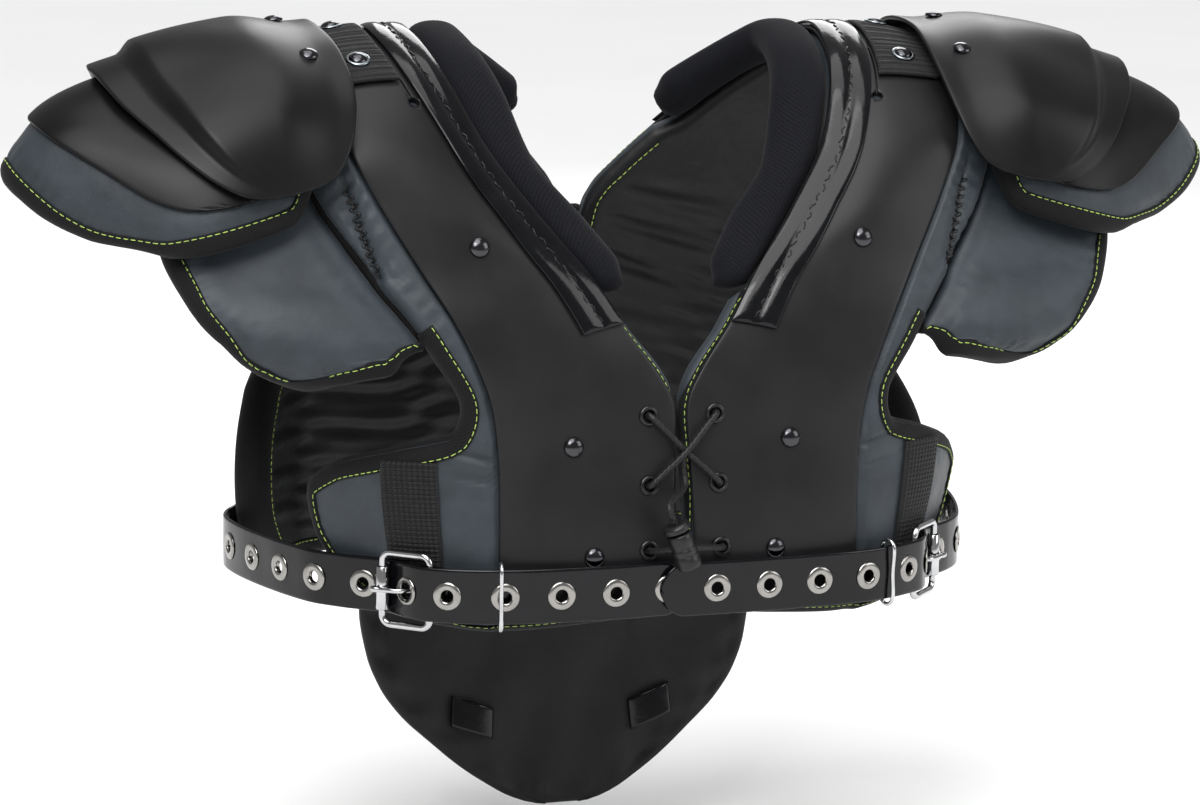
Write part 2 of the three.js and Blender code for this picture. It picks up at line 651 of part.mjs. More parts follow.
// A closed tube through rings of points, capped at both ends.
function tubeThrough(rings) {
  const sides = rings[0].length;
  const middle = (ring) => ring.reduce((sum, p) => sum.add(p), new THREE.Vector3()).divideScalar(sides);
  const points = [...rings.flat(), middle(rings[0]), middle(rings[rings.length - 1])];
  const start = points.length - 2;
  const index = [];
  for (let i = 0; i < rings.length - 1; i += 1) {
    for (let j = 0; j < sides; j += 1) {
      const next = (j + 1) % sides;
      const [a, b, c, d] = [i * sides + j, i * sides + next, (i + 1) * sides + next, (i + 1) * sides + j];
      index.push(a, c, b, a, d, c);
    }
  }
  for (let j = 0; j < sides; j += 1) {
    const next = (j + 1) % sides;
    const base = (rings.length - 1) * sides;
    index.push(start, j, next, start + 1, base + next, base + j);
  }
  return closedGeometry(points.flatMap((p) => [p.x, p.y, p.z]), index);
}

// The vinyl strip along the neck edge, on the plate.
function neckTrim() {
  const rows = rowKnots.filter((row) => row >= 6.2 && row <= 15.3);
  return layer(body, [6.05, ...rows].map((row) => {
    const edge = body(row, 1).point;
    const across = body(row, 1.5).point.sub(edge).normalize();
    const along = body(row + 0.1, 1).point.sub(body(row - 0.1, 1).point).normalize();
    const lean = Math.sqrt(1 - across.dot(along) ** 2);
    const width = TRIM_WIDTH / lean / columnLength(row);
    const skew = row < 6.1 ? -0.38 : 0;
    return { row, columns: [1, width > 0.5 ? 1.5 : 1 + width / 2, 1 + width], skew };
  }), (onRim) => [2 * GAP + TRIM_WALL * (onRim ? 0.8 : 1), 2 * GAP]);
}

// The webbing that carries the epaulet lies on the plate, then between cup and cap.
function shoulderWebbing(along, across, lift) {
  const bodyRow = SHOULDER_ROW - 0.87 + ((along - 0.5) * SHOULDER_WEBBING_WIDTH) / BODY_ROW_PITCH;
  const epauletRow = crestRow - 0.15 + ((along - 0.5) * SHOULDER_WEBBING_WIDTH) / EPAULET_ROW_PITCH;
  const [leavesPlate, meetsCup] = [0.55, 0.75];
  const plateColumn = THREE.MathUtils.lerp(1.82, 2.78, Math.min(across / leavesPlate, 1));
  const cupColumn = THREE.MathUtils.lerp(0.22, 0.62, Math.max((across - meetsCup) / (1 - meetsCup), 0));
  const onPlate = body(bodyRow, plateColumn, 2.4 * GAP + lift);
  const onCup = epaulet(epauletRow, cupColumn, 1.5 * GAP + lift);
  const mix = THREE.MathUtils.clamp((across - leavesPlate) / (meetsCup - leavesPlate), 0, 1);
  return {
    point: onPlate.point.lerp(onCup.point, mix),
    normal: onPlate.normal.lerp(onCup.normal, mix).normalize(),
  };
}

function epauletStrap() {
  const across = [0, 0.218, 0.55, 0.75, 1];
  const along = [0, 0.22, 0.442, 0.66, 0.887, 1];
  const grid = (lift) => along.map((run) => across.map((share) => shoulderWebbing(run, share, lift).point));
  return shell(grid(WEBBING_WALL), grid(0));
}

// The webbing down the side lobe, on the padding.
function sideStrap() {
  const middle = 3.86;
  const columnWidth = body(1.6, 3).point.distanceTo(body(1.6, 4).point);
  const half = SIDE_WEBBING_WIDTH / 2 / columnWidth;
  const rows = [0.12, 0.6, 1.3, 2.2, 2.75, 2.95];
  const base = PAD_PUFF + GAP;
  return layer(body, rows.map((row) => ({
    row,
    columns: [middle - half, middle, middle + half],
  })), () => [base + WEBBING_WALL, base]);
}

// How much further than BELT_LIFT the belt stands off the body, from the chest to the side, and
// from the side along the back.
const FRONT_LIFTS = [
  { column: 2.2, lift: 0.5 },
  { column: 2.8, lift: 2.4 },
  { column: 3.25, lift: 5 },
  { column: 3.6, lift: 5.2 },
  { column: 4, lift: 5.6 },
  { column: 4.5, lift: 3 },
  { column: 4.9, lift: 3 },
];
const BACK_LIFTS = [
  { column: 5, lift: 1 },
  { column: 4.5, lift: 2 },
  { column: 4, lift: 1 },
  { column: 3.5, lift: 1 },
  { column: 3, lift: 0 },
  { column: 2.7, lift: 0 },
];

// The belt's route in plan: across the chest, round the side and along the back.
function beltRoute(tip, tipLift) {
  const frontRow = 0.55;
  const backRow = 21.35;
  const onFront = (column, lift) => body(frontRow, column, BELT_LIFT + lift).point;
  const onBack = (column, lift) => body(backRow, column, BELT_LIFT + lift).point;
  const start = onFront(1, tipLift).y;
  const points = [
    new THREE.Vector3(tip, start, 0),
    new THREE.Vector3(tip + 14, start, 0),
    onFront(1.6, tipLift * 0.5),
    ...FRONT_LIFTS.map(({ column, lift }) => onFront(column, lift)),
    ...BACK_LIFTS.map(({ column, lift }) => onBack(column, lift)),
  ].map((p) => new THREE.Vector3(p.x, p.y, 0));
  return new THREE.CatmullRomCurve3(points, false, "centripetal");
}

// The belt weaves over the buckle's inner bar and under its roller.
function weave(along) {
  const half = BUCKLE_LENGTH / 2;
  const overBar = BUCKLE_WIRE + GAP;
  const underRoller = -ROLLER_RADIUS - GAP - BELT_WALL;
  if (Math.abs(along) <= half) {
    return THREE.MathUtils.lerp(overBar, underRoller, (along + half) / BUCKLE_LENGTH);
  }
  const fade = 1 - THREE.MathUtils.smoothstep(Math.abs(along), half, half + WEAVE_FADE);
  return fade * (along < 0 ? overBar : underRoller);
}

// A place by the belt's route: distance along it from its tip, height across it and lift off it.
function routePlace({ route }, distance, up = 0, out = 0) {
  const u = THREE.MathUtils.clamp(distance / route.getLength(), 0, 1);
  const tangent = route.getTangentAt(u);
  const normal = new THREE.Vector3(tangent.y, -tangent.x, 0).normalize();
  const point = route.getPointAt(u).addScaledVector(normal, out);
  point.z = up - BELT_LEVEL * CHEST_DROP;
  return { point, normal, tangent };
}

// A place on the belt itself, with its weave through the buckle.
function beltPlace(run, distance, up = 0, out = 0) {
  return routePlace(run, distance, up, out + weave(distance - run.buckleAt));
}

function belt(run, holes, prongHole) {
  const length = run.route.getLength();
  const at = run.buckleAt;
  const half = BUCKLE_LENGTH / 2;
  const tipLength = 9;
  const tail = evenly(20, at - half - WEAVE_FADE / 2, 4);
  const rest = evenly(at + half + WEAVE_FADE / 2, length, 8);
  const stations = [0, 1.2, 4, tipLength, ...tail, at - half, at, at + half, ...rest];
  const roundness = (d) => 1 - Math.max(0, 1 - d / tipLength) ** 2;
  const halfAt = (d) => (BELT_WIDTH / 2) * Math.sqrt(Math.max(0.12, roundness(d)));
  const grid = (out) => stations.map((d) => (
    [1, -1].map((side) => beltPlace(run, d, side * halfAt(d), out).point)
  ));
  let solid = toSolid(shell(grid(BELT_WALL), grid(0)));
  for (const hole of holes) {
    const bore = hole === prongHole ? PRONG_BORE : GROMMET_BORE;
    const middle = (distance) => beltPlace(run, distance, 0, BELT_WALL / 2).point;
    const ahead = middle(hole + 3).sub(middle(hole - 3));
    const normal = new THREE.Vector3(ahead.y, -ahead.x, 0).normalize();
    const high = BELT_WALL / 2 + GROMMET_LIP;
    const low = -BELT_WALL / 2 - 0.25;
    const outline = [
      [bore, low],
      [GROMMET_RADIUS, low],
      [GROMMET_RADIUS, BELT_WALL / 2 + 0.15],
      [bore, high],
      [bore, low],
    ];
    const ring = standing(turned(outline, 8), middle(hole), normal);
    const drill = turned([[0, -4], [bore + 0.2, -4], [bore + 0.2, 4], [0, 4]], 8);
    const plug = standing(drill, middle(hole), normal);
    solid = solid.subtract(toSolid(plug)).add(toSolid(ring));
  }
  return toGeometry(solid);
}

// A frame of round wire in the belt's plane, with the roller and the prong on it.
function buckle(run, sideName, mirror) {
  const flip = (geometry) => (mirror ? mirrored(mergedIndex(geometry)) : mergedIndex(geometry));
  const wide = BUCKLE_LENGTH / 2;
  const tall = BUCKLE_HEIGHT / 2;
  const bar = routePlace(run, run.buckleAt - wide).point;
  const outerBar = routePlace(run, run.buckleAt + wide).point;
  const ahead = outerBar.clone().sub(bar).normalize();
  const out = new THREE.Vector3(ahead.y, -ahead.x, 0);
  const centre = bar.clone().lerp(outerBar, 0.5);
  const place = (along, up, lift) => centre.clone().addScaledVector(ahead, along).addScaledVector(out, lift)
    .add(new THREE.Vector3(0, 0, up));
  const corner = 4;
  const rim = [
    [-wide, -tall + corner], [-wide, 0], [-wide, tall - corner], [-wide + corner, tall],
    [wide - corner, tall], [wide, tall - corner], [wide, 0], [wide, -tall + corner], [wide - corner, -tall],
    [-wide + corner, -tall],
  ].map(([along, up]) => place(along, up, 0));
  addMesh(`buckle_frame_${sideName}`, flip(wire(rim, BUCKLE_WIRE, 5, 16, true)), "chrome");
  const rollerHalf = tall - corner - 2.5;
  const inside = BUCKLE_WIRE + 1.6 * GAP;
  const sleeve = turned([[inside, -rollerHalf], [ROLLER_RADIUS, -rollerHalf], [ROLLER_RADIUS, rollerHalf],
    [inside, rollerHalf], [inside, -rollerHalf]], 8);
  const middle = place(wide, 0, 0);
  addMesh(`buckle_roller_${sideName}`, flip(sleeve.translate(middle.x, middle.y, middle.z)), "chrome");
  const tip = ROLLER_RADIUS + PRONG_RADIUS + GAP;
  const hole = run.prongHole - run.buckleAt;
  const beltAt = weave(hole) + BELT_WALL / 2;
  const prong = wire([
    place(-wide + BUCKLE_WIRE + GAP, 0, -0.6),
    place(hole - 3.4, 0, beltAt - 2.9),
    place(hole, 0, beltAt),
    place(hole + 3.2, 0, beltAt + 3.4),
    place(wide - 1, 0, tip),
    place(wide + 4, 0, tip),
  ], PRONG_RADIUS, 5, 9);
  addMesh(`buckle_prong_${sideName}`, flip(prong), "chrome");
}

function mergedIndex(geometry) {
  const bare = new THREE.BufferGeometry();
  const flat = geometry.index ? geometry.toNonIndexed() : geometry;
  bare.setAttribute("position", flat.getAttribute("position"));
  return mergeVertices(bare, 1e-4);
}

// The wire keeper round the belt's tail.
function keeper(run, at) {
  const tall = KEEPER_HEIGHT / 2;
  const outside = BELT_WALL + KEEPER_WIRE + GAP + GROMMET_LIP;
  const inside = -KEEPER_WIRE - 6 * GAP;
  const loop = [
    [-tall + 2, outside], [0, outside], [tall - 2, outside], [tall, (outside + inside) / 2],
    [tall - 2, inside], [0, inside], [-tall + 2, inside], [-tall, (outside + inside) / 2],
  ].map(([up, out]) => beltPlace(run, at, up, out).point);
  return wire(loop, KEEPER_WIRE, 4, 12, true);
}

// The short vinyl tab that holds the buckle's inner bar to the plate.
function buckleTab(run) {
  const start = run.buckleAt - BUCKLE_LENGTH / 2 - BUCKLE_WIRE - 3 * GAP;
  const behindKeeper = 2 * KEEPER_WIRE + 8 * GAP;
  const stations = [[0, 0.2], [4, behindKeeper], [20, behindKeeper], [TAB_LENGTH, behindKeeper]];
  const half = BELT_WIDTH / 2 - 2;
  const grid = (wall) => stations.map(([back, deep]) => [-half, half].map((up) => (
    routePlace(run, start - back, up, -deep - wall).point
  )));
  return shell(grid(0), grid(TAB_WALL));
}

function addBelts() {
  for (const [sideName, side] of Object.entries(SIDES)) {
    const over = side > 0;
    const { tip, firstHole, keeper: keeperHoles } = over ? OVER_BELT : UNDER_BELT;
    const route = beltRoute(tip, over ? BELT_WALL + 0.6 + GROMMET_LIP : 0);
    const prongHole = firstHole + GROMMET_PITCH * BELT_HOLES - WEAVE_TAKE_UP;
    const run = { route, prongHole, buckleAt: prongHole + 1 };
    const flip = (geometry) => (over ? mergedIndex(geometry) : mirrored(mergedIndex(geometry)));
    const holes = Array.from({ length: BELT_HOLES }, (_, i) => firstHole + GROMMET_PITCH * i);
    addMesh(`belt_${sideName}`, flip(belt(run, [...holes, prongHole], prongHole)), "vinyl");
    buckle(run, sideName, !over);
    const keeperAt = prongHole - GROMMET_PITCH * keeperHoles;
    addMesh(`keeper_loop_${sideName}`, flip(keeper(run, keeperAt)), "chrome");
    addMesh(`buckle_tab_${sideName}`, flip(buckleTab(run)), "vinyl");
  }
}

// The flap that hangs from the back hem, and the two loops on its inner face.
function flapPlace(down, share, lift) {
  const rows = FLAP_ROWS;
  let i = 0;
  while (i < rows.length - 2 && down > rows[i + 1].down) i += 1;
  const mix = (down - rows[i].down) / (rows[i + 1].down - rows[i].down);
  const depth = THREE.MathUtils.lerp(rows[i].depth, rows[i + 1].depth, mix);
  const half = THREE.MathUtils.lerp(rows[i].half, rows[i + 1].half, mix);
  const x = (share * half * FLAP_HALF_WIDTH) / 100;
  const hem = (BODY_ROWS[BODY_ROWS.length - 1][BODY_COLUMNS.indexOf("edge")][2] / 100) * CHEST_DROP - 0.2;
  const bow = 6 * (x / FLAP_HALF_WIDTH) ** 2;
  return new THREE.Vector3(x, (depth / 100) * BACK_DEPTH - bow - lift, hem - (down / 100) * FLAP_DROP);
}

function backFlap() {
  const shares = [-1, -0.93, -0.5, 0, 0.5, 0.93, 1];
  const rows = FLAP_ROWS.map(({ down }) => down);
  rows.splice(1, 0, 3);
  const grid = (face) => rows.map((down, i) => shares.map((share, j) => {
    const onRim = i === 0 || i === rows.length - 1 || j === 0 || j === shares.length - 1;
    const rim = onRim ? FLAP_PADDING * 0.22 : 0;
    return flapPlace(down, share, face > 0 ? -rim : rim - FLAP_PADDING);
  }));
  return shell(grid(-1), grid(1));
}

function flapLoop(side) {
  const down = LOOP_DOWN;
  const share = side * LOOP_SHARE;
  const centre = flapPlace(down, share, GAP);
  const across = flapPlace(down, share + 0.1, GAP).sub(flapPlace(down, share - 0.1, GAP)).normalize();
  const rise = flapPlace(down - 5, share, GAP).sub(flapPlace(down + 5, share, GAP)).normalize();
  const out = across.clone().cross(rise).normalize();
  const turn = side * THREE.MathUtils.degToRad(LOOP_TURN);
  const grid = (thick) => evenly(-1, 1, 8).map((s) => [1, -1].map((w) => {
    const height = LOOP_RISE * Math.sqrt(Math.max(0, 1 - s * s)) + thick + 0.3;
    const u = (s * LOOP_SIZE) / 2;
    const v = (w * LOOP_SIZE) / 2;
    return centre.clone()
      .addScaledVector(across, u * Math.cos(turn) - v * Math.sin(turn))
      .addScaledVector(rise, u * Math.sin(turn) + v * Math.cos(turn))
      .addScaledVector(out, height);
  }));
  return shell(grid(LOOP_WALL), grid(0));
}

// The webbing that joins the two back plates.
function backBridge() {
  const rows = [17.2, 17.6, 18];
  const place = (row, x, lift) => {
    let [low, high] = [1, 2];
    for (let i = 0; i < 20; i += 1) {
      const column = (low + high) / 2;
      if (body(row, column, lift).point.x < Math.abs(x)) low = column;
      else high = column;
    }
    const { point } = body(row, low, lift);
    point.x = x;
    return point;
  };
  const seam = Math.max(...rows.map((row) => body(row, 1).point.x)) + 1;
  const knee = Math.min(...rows.map((row) => body(row, 1.5).point.x));
  const half = [seam, knee, BRIDGE_HALF_WIDTH];
  const xs = [...half.map((x) => -x).reverse(), 0, ...half];
  const base = 2 * GAP;
  const grid = (lift) => rows.map((row) => xs.map((x) => place(row, x, lift)));
  return shell(grid(base + WEBBING_WALL), grid(base));
}

// The lace: a cross between the upper eyelets, a strand in the gap and two tied ends.
function lace() {
  const hole = (name, side, lift) => {
    const { point } = body(EYELETS[name].row, EYELETS[name].column, lift);
    return new THREE.Vector3(point.x * side, point.y, point.z);
  };
  const front = body(3, 1, 0).point.y;
  const middle = hole("eyelet_top", 1, 0).add(hole("eyelet_mid", 1, 0)).multiplyScalar(0.5);
  const strand = (points, steps) => toSolid(wire(points, LACE_RADIUS, 5, steps));
  const proud = LACE_RADIUS + EYELET_LIP + 2 * GAP;
  const cross = (side) => strand([
    hole("eyelet_top", side, -1.5),
    hole("eyelet_top", side, proud - 0.6),
    hole("eyelet_top", side, proud + 0.8).lerp(new THREE.Vector3(0, middle.y - proud, middle.z), 0.35),
    new THREE.Vector3(0, middle.y - proud - (side > 0 ? 1.2 : 0), middle.z),
    hole("eyelet_mid", -side, proud + 0.8).lerp(new THREE.Vector3(0, middle.y - proud, middle.z), 0.35),
    hole("eyelet_mid", -side, proud - 0.6),
    hole("eyelet_mid", -side, -1.5),
  ], 9);
  const rise = strand([
    new THREE.Vector3(0, middle.y - proud, middle.z),
    new THREE.Vector3(0, front - 1.6, middle.z - 8),
    new THREE.Vector3(0, front - 4, middle.z - 16),
    lockPlace(1.35),
    lockPlace(1.05),
    lockPlace(0.8),
    lockPlace(0.4),
  ], 8);
  const tied = (side) => strand([
    hole("eyelet_low", side, -1.5),
    hole("eyelet_low", side, proud - 0.4),
    hole("eyelet_low", side, proud + 1.6).lerp(lockPlace(0.45), 0.3),
    lockPlace(0.45),
  ], 5);
  return toGeometry(cross(1).add(cross(-1)).add(rise).add(tied(1)).add(tied(-1)));
}

// A place on the cord lock's axis, 0 at its foot and 1 at its top.
function lockPlace(share) {
  const chest = body(1.16, 1, 0).point;
  const overBelts = BELT_LIFT + 2 * BELT_WALL + 0.6 + 2 * GROMMET_LIP + GAP;
  const foot = new THREE.Vector3(-3, chest.y - LOCK_RADIUS - overBelts, chest.z - 5);
  const lean = new THREE.Vector3(-0.36, 0, 0.93).normalize();
  return foot.addScaledVector(lean, share * LOCK_LENGTH);
}

function cordLock() {
  const foot = lockPlace(0);
  const axis = lockPlace(1).sub(foot);
  const run = axis.clone().normalize();
  const [shoulder, rim] = [LOCK_LENGTH - 5, LOCK_LENGTH - 4.2];
  const shaft = [[0, 0], [LOCK_RADIUS - 0.6, 0], [LOCK_RADIUS, 0.8], [LOCK_RADIUS, shoulder], [0, rim]];
  const cap = [[0, 0], [LOCK_RADIUS + 0.9, 0], [LOCK_RADIUS + 0.9, 2], [LOCK_RADIUS * 0.8, 3.4], [0, 3.8]];
  const barrel = toSolid(standing(turned(shaft, 8), foot, axis));
  const seat = foot.clone().addScaledVector(run, rim + GAP);
  const button = toSolid(standing(turned(cap, 8), seat, axis));
  const bore = (from, to) => (
    toSolid(wire([from, from.clone().lerp(to, 0.5), to], LACE_RADIUS + 3 * GAP, 6, 2))
  );
  const inside = (distance) => foot.clone().addScaledVector(run, distance);
  const upright = bore(inside(4), inside(LOCK_LENGTH + 5));
  const side = (sign) => {
    const { row, column } = EYELETS.eyelet_low;
    const from = body(row, column, LACE_RADIUS + EYELET_LIP + 2 * GAP + 1.6).point;
    from.x *= sign;
    return bore(from, lockPlace(0.45));
  };
  const bored = barrel.subtract(upright).subtract(side(1)).subtract(side(-1));
  addMesh("cord_lock_barrel", mergedIndex(toGeometry(bored)), "plate");
  addMesh("cord_lock_button", mergedIndex(toGeometry(button.subtract(upright))), "plate");
}

function eyelet(spot) {
  const place = body(spot.row, spot.column, 0);
  const flange = turned([[EYELET_BORE, GAP], [EYELET_RADIUS, GAP], [EYELET_RADIUS - 0.6, EYELET_LIP + GAP],
    [EYELET_BORE, EYELET_LIP], [EYELET_BORE, GAP]], 8);
  return mergedIndex(standing(flange, place.point, place.normal));
}

addPair("arch", mergedIndex(plate()), "plate");
addPair("body_pad", bodyPad(), "padding");
addPair("deltoid_pad", deltoidPad(), "padding");
addPair("epaulet_pad", epauletPad(), "padding");
addPair("epaulet_cup", epauletCup(), "plate");
addPair("epaulet_cap", epauletCap(), "plate");
addPair("neck_roll", neckRoll(), "knit");
addPair("neck_trim", neckTrim(), "vinyl");
addPair("epaulet_strap", epauletStrap(), "webbing");
addPair("side_strap", sideStrap(), "webbing");
addBelts();
addMesh("back_flap", backFlap(), "lining");
addMesh("flap_loop_left", flapLoop(1), "vinyl");
addMesh("flap_loop_right", flapLoop(-1), "vinyl");
addMesh("back_bridge", backBridge(), "webbing");
addMesh("lace", mergedIndex(lace()), "cord");
cordLock();
for (const [name, spot] of Object.entries(EYELETS)) addPair(name, eyelet(spot), "rivet");
for (const [name, spot] of Object.entries(PLATE_RIVETS)) {
  addPair(name, mergedIndex(domedRivet(body(spot.row, spot.column))), "rivet");
}
for (const [name, { along, across }] of Object.entries(WEBBING_RIVETS)) {
  const seat = shoulderWebbing(along, across, WEBBING_WALL + 1.5 * GAP);
  addPair(name, mergedIndex(domedRivet(seat)), "rivet");
}
for (const [name, spot] of Object.entries(CAP_RIVETS)) {
  const seat = capPlace(spot);
  seat.point.addScaledVector(seat.normal, 1.4 * GAP);
  addPair(name, mergedIndex(domedRivet(seat)), "rivet");
}

export default group;
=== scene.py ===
import math

import bpy
import numpy as np
from mathutils import Matrix, Vector
from mathutils.kdtree import KDTree


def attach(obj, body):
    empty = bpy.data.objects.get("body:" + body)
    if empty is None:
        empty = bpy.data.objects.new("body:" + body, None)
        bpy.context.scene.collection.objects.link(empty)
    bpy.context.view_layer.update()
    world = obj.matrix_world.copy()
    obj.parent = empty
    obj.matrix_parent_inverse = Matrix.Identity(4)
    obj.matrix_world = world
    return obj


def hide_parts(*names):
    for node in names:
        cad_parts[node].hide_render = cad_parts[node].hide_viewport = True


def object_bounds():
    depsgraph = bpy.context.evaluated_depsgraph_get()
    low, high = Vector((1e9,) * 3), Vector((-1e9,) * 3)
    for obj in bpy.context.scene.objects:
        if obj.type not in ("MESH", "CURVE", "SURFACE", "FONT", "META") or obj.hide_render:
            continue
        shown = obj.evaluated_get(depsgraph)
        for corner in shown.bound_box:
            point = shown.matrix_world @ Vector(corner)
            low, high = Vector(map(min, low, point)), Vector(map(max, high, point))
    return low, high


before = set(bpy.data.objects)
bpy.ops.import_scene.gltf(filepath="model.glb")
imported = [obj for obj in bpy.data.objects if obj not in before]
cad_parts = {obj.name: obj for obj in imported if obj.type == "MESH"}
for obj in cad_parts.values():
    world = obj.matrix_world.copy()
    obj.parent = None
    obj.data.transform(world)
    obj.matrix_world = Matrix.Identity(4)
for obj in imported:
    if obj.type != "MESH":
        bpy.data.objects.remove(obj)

cad_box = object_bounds()

MM = 0.001
SIDES = (("left", 1), ("right", -1))

# The camera, fitted to the photograph: its angles, its distance and scale in millimetres, the pixel
# where the frame's origin falls, and the last shift that the fit asked for.
VIEW_TURN, VIEW_RISE, VIEW_ROLL = math.radians(-18.0), math.radians(10.1), math.radians(0.84)
VIEW_DISTANCE, MM_PER_PIXEL = 1600.0, 0.47
ORIGIN_PIXEL = (627.1, 90.0)
IMAGE = (1200, 805)
FIT_SHIFT = np.array([0.0, 10.0, 0.0])
SENSOR = 36.0


def add_object(name, data):
    obj = bpy.data.objects.new(name, data)
    bpy.context.scene.collection.objects.link(obj)
    return obj


def add_camera():
    sin_a, cos_a = math.sin(VIEW_TURN), math.cos(VIEW_TURN)
    back = np.array([sin_a * math.cos(VIEW_RISE), -cos_a * math.cos(VIEW_RISE), math.sin(VIEW_RISE)])
    flat_right = np.array([cos_a, sin_a, 0.0])
    flat_up = np.cross(back, flat_right)
    right = flat_right * math.cos(VIEW_ROLL) + flat_up * math.sin(VIEW_ROLL)
    up = np.cross(back, right)
    centre = back * VIEW_DISTANCE
    centre = centre - right * (ORIGIN_PIXEL[0] - IMAGE[0] / 2) * MM_PER_PIXEL
    centre = centre - up * (IMAGE[1] / 2 - ORIGIN_PIXEL[1]) * MM_PER_PIXEL - FIT_SHIFT
    data = bpy.data.cameras.new("camera")
    data.sensor_width = SENSOR
    data.lens = SENSOR * (VIEW_DISTANCE / MM_PER_PIXEL) / IMAGE[0]
    data.clip_start, data.clip_end = 0.05, 60.0
    camera = add_object("camera", data)
    matrix = np.eye(4)
    matrix[:3, 0], matrix[:3, 1], matrix[:3, 2] = right, up, back
    matrix[:3, 3] = centre * MM
    camera.matrix_world = Matrix([list(map(float, row)) for row in matrix])
    bpy.context.scene.camera = camera


add_camera()

# The driving sizes, then the gap, walls and heights of the layers, all in millimetres.
NECK, CHEST, BACK, DROP, RISE, ROOT, REACH = 100, 100, 100, 200, 30, 150, 140
GAP, PLATE_WALL, CUP_WALL, CAP_WALL, CAP_LIFT, CAP_DOME = 0.35, 2.6, 2.2, 2.4, 6.5, 5
# The plate's outer face: rows from the chest over the shoulder to the back, columns from the slot
# outward, in percent of the driving sizes.
BODY_ROWS = [
    [[4.6, -104, -115], [46, -106, -116.5], [86.5, -98, -118], [120, -73, -117.5], [157, -33, -116]],
    [[4.6, -104, -102], [46, -105, -102], [86.5, -98.5, -102], [123.5, -75, -102.5], [159.5, -32, -102]],
    [[4.2, -102, -90], [46, -103, -90], [86.4, -98, -90], [127, -77, -90.5], [162, -34, -91]],
    [[3.2, -98, -77.5], [47, -99, -77.5], [87, -97.5, -78.5], [129, -78, -78.5], [162, -41, -80]],
    [[3.2, -95, -67], [48, -97, -66.5], [90.5, -97.5, -66], [129, -82, -68], [160, -46, -70]],
    [[11, -92, -59.5], [53, -95, -58.5], [96.5, -96.5, -57.5], [130, -87, -58.5], [158, -55, -60]],
    [[25, -87.5, -50], [64, -91, -47], [106, -92, -47.5], [131, -86, -47.5], [156, -62, -49]],
    [[38, -81.5, -40], [79, -84, -35.5], [119, -82.5, -36.5], [141, -77, -37.5], [164, -58, -38]],
    [[61, -67.5, -25.5], [97, -77, -24], [135, -72, -22.5], [160, -64, -23.5], [180, -48, -25]],
    [[80, -54, -12], [112, -61, -8.5], [147, -62, -10], [171, -50, -11], [188, -36, -14]],
    [[93, -33, 17], [122, -36, 23], [153, -38, 13], [178, -28, 3], [193, -16, -4]],
    [[99, -8, 70], [127, -6, 73], [155, -6, 57], [181, -2, 22], [196, 4, -4]],
    [[101, 22, 93], [128, 22, 90], [155, 22, 70], [182, 22, 25], [197, 22, -2]],
    [[92, 42, 67], [124, 49, 57], [155, 50, 40], [180, 46, -4], [194, 42, -6]],
    [[72, 56, 17], [112, 71, -1.5], [150, 76, -7], [174, 67, -14], [188, 56, -16]],
    [[48, 67, -8], [97, 89, -17], [141, 93, -25], [164, 83, -31.5], [180, 68, -34]],
    [[24, 77, -20], [80, 101, -32], [130, 104, -42], [152, 94, -47], [172, 74, -51]],
    [[9, 84, -30], [68, 107, -45], [117, 110, -56], [146, 98, -60], [172, 68, -64]],
    [[4.6, 91, -45], [59, 111, -59], [106, 112, -68], [144, 96, -71], [175, 50, -74]],
    [[4.6, 98, -61], [54, 113, -72.5], [98, 112, -80], [145, 93, -81.5], [178, 40, -84]],
    [[4.6, 102, -80], [52, 114, -87.5], [95, 111, -92.5], [146, 90, -94], [179, 34, -95]],
    [[4.6, 104, -99], [52, 114, -102.5], [95, 110, -105.5], [145, 89, -106.5], [178, 34, -106]],
    [[4.6, 103, -117.5], [52, 113, -118], [95, 109, -118.5], [144, 88, -118], [174, 36, -117]],
]
# The body pad's outline: row, lip at the neck in millimetres, reach as a column.
PAD_OUTLINE = [
    (0, 3.4, 3.85), (0.15, 3.4, 4.3), (0.6, 3.4, 4.72), (1.3, 3.4, 4.93), (2.2, 2.2, 4.98),
    (2.75, 2.2, 4.7), (3.1, 2.2, 4.05), (3.45, 2.2, 3.42), (4, 2.2, 3.32), (4.7, 5, 3.4),
    (5.45, 6, 3.58), (6.15, 6, 3.85), (6.7, 6, 4), (6.9, 0.3, 4), (8, 0.3, 4), (15, 0.3, 4),
    (15.3, 6, 4), (16.3, 6, 4), (17.2, 3.8, 4.2), (18, 3.4, 4.8), (20, 3.4, 5), (21.7, 3.4, 4.8),
    (22, 3.4, 4.4),
]
# The deltoid lobe: its bottom corner, the shares of the way from there to the first join at which
# its lowest rows start, the body rows that it joins, and its outer edge.
DELTOID_CORNER = [-8, -92, -58.5]
DELTOID_FREE = [0, 0.45, 0.8]
DELTOID_JOINS = [5.45, 6.15, 6.7, 8, 9, 10, 11, 12, 13, 14, 15, 16.3, 17.2]
DELTOID_OUTER = [
    [7, -84, -61], [26, -78, -60.5], [35, -77, -57], [42, -79, -52], [49, -74, -46], [53, -68, -40],
    [57.5, -56, -32], [58, -43, -24], [56, -22, -16], [56, 0, -12], [54, 18, -11], [49, 38, -13],
    [42, 54, -17], [36, 64, -28], [29, 74, -46], [20, 80, -57],
]
DELTOID_LAST = len(DELTOID_OUTER) - 1
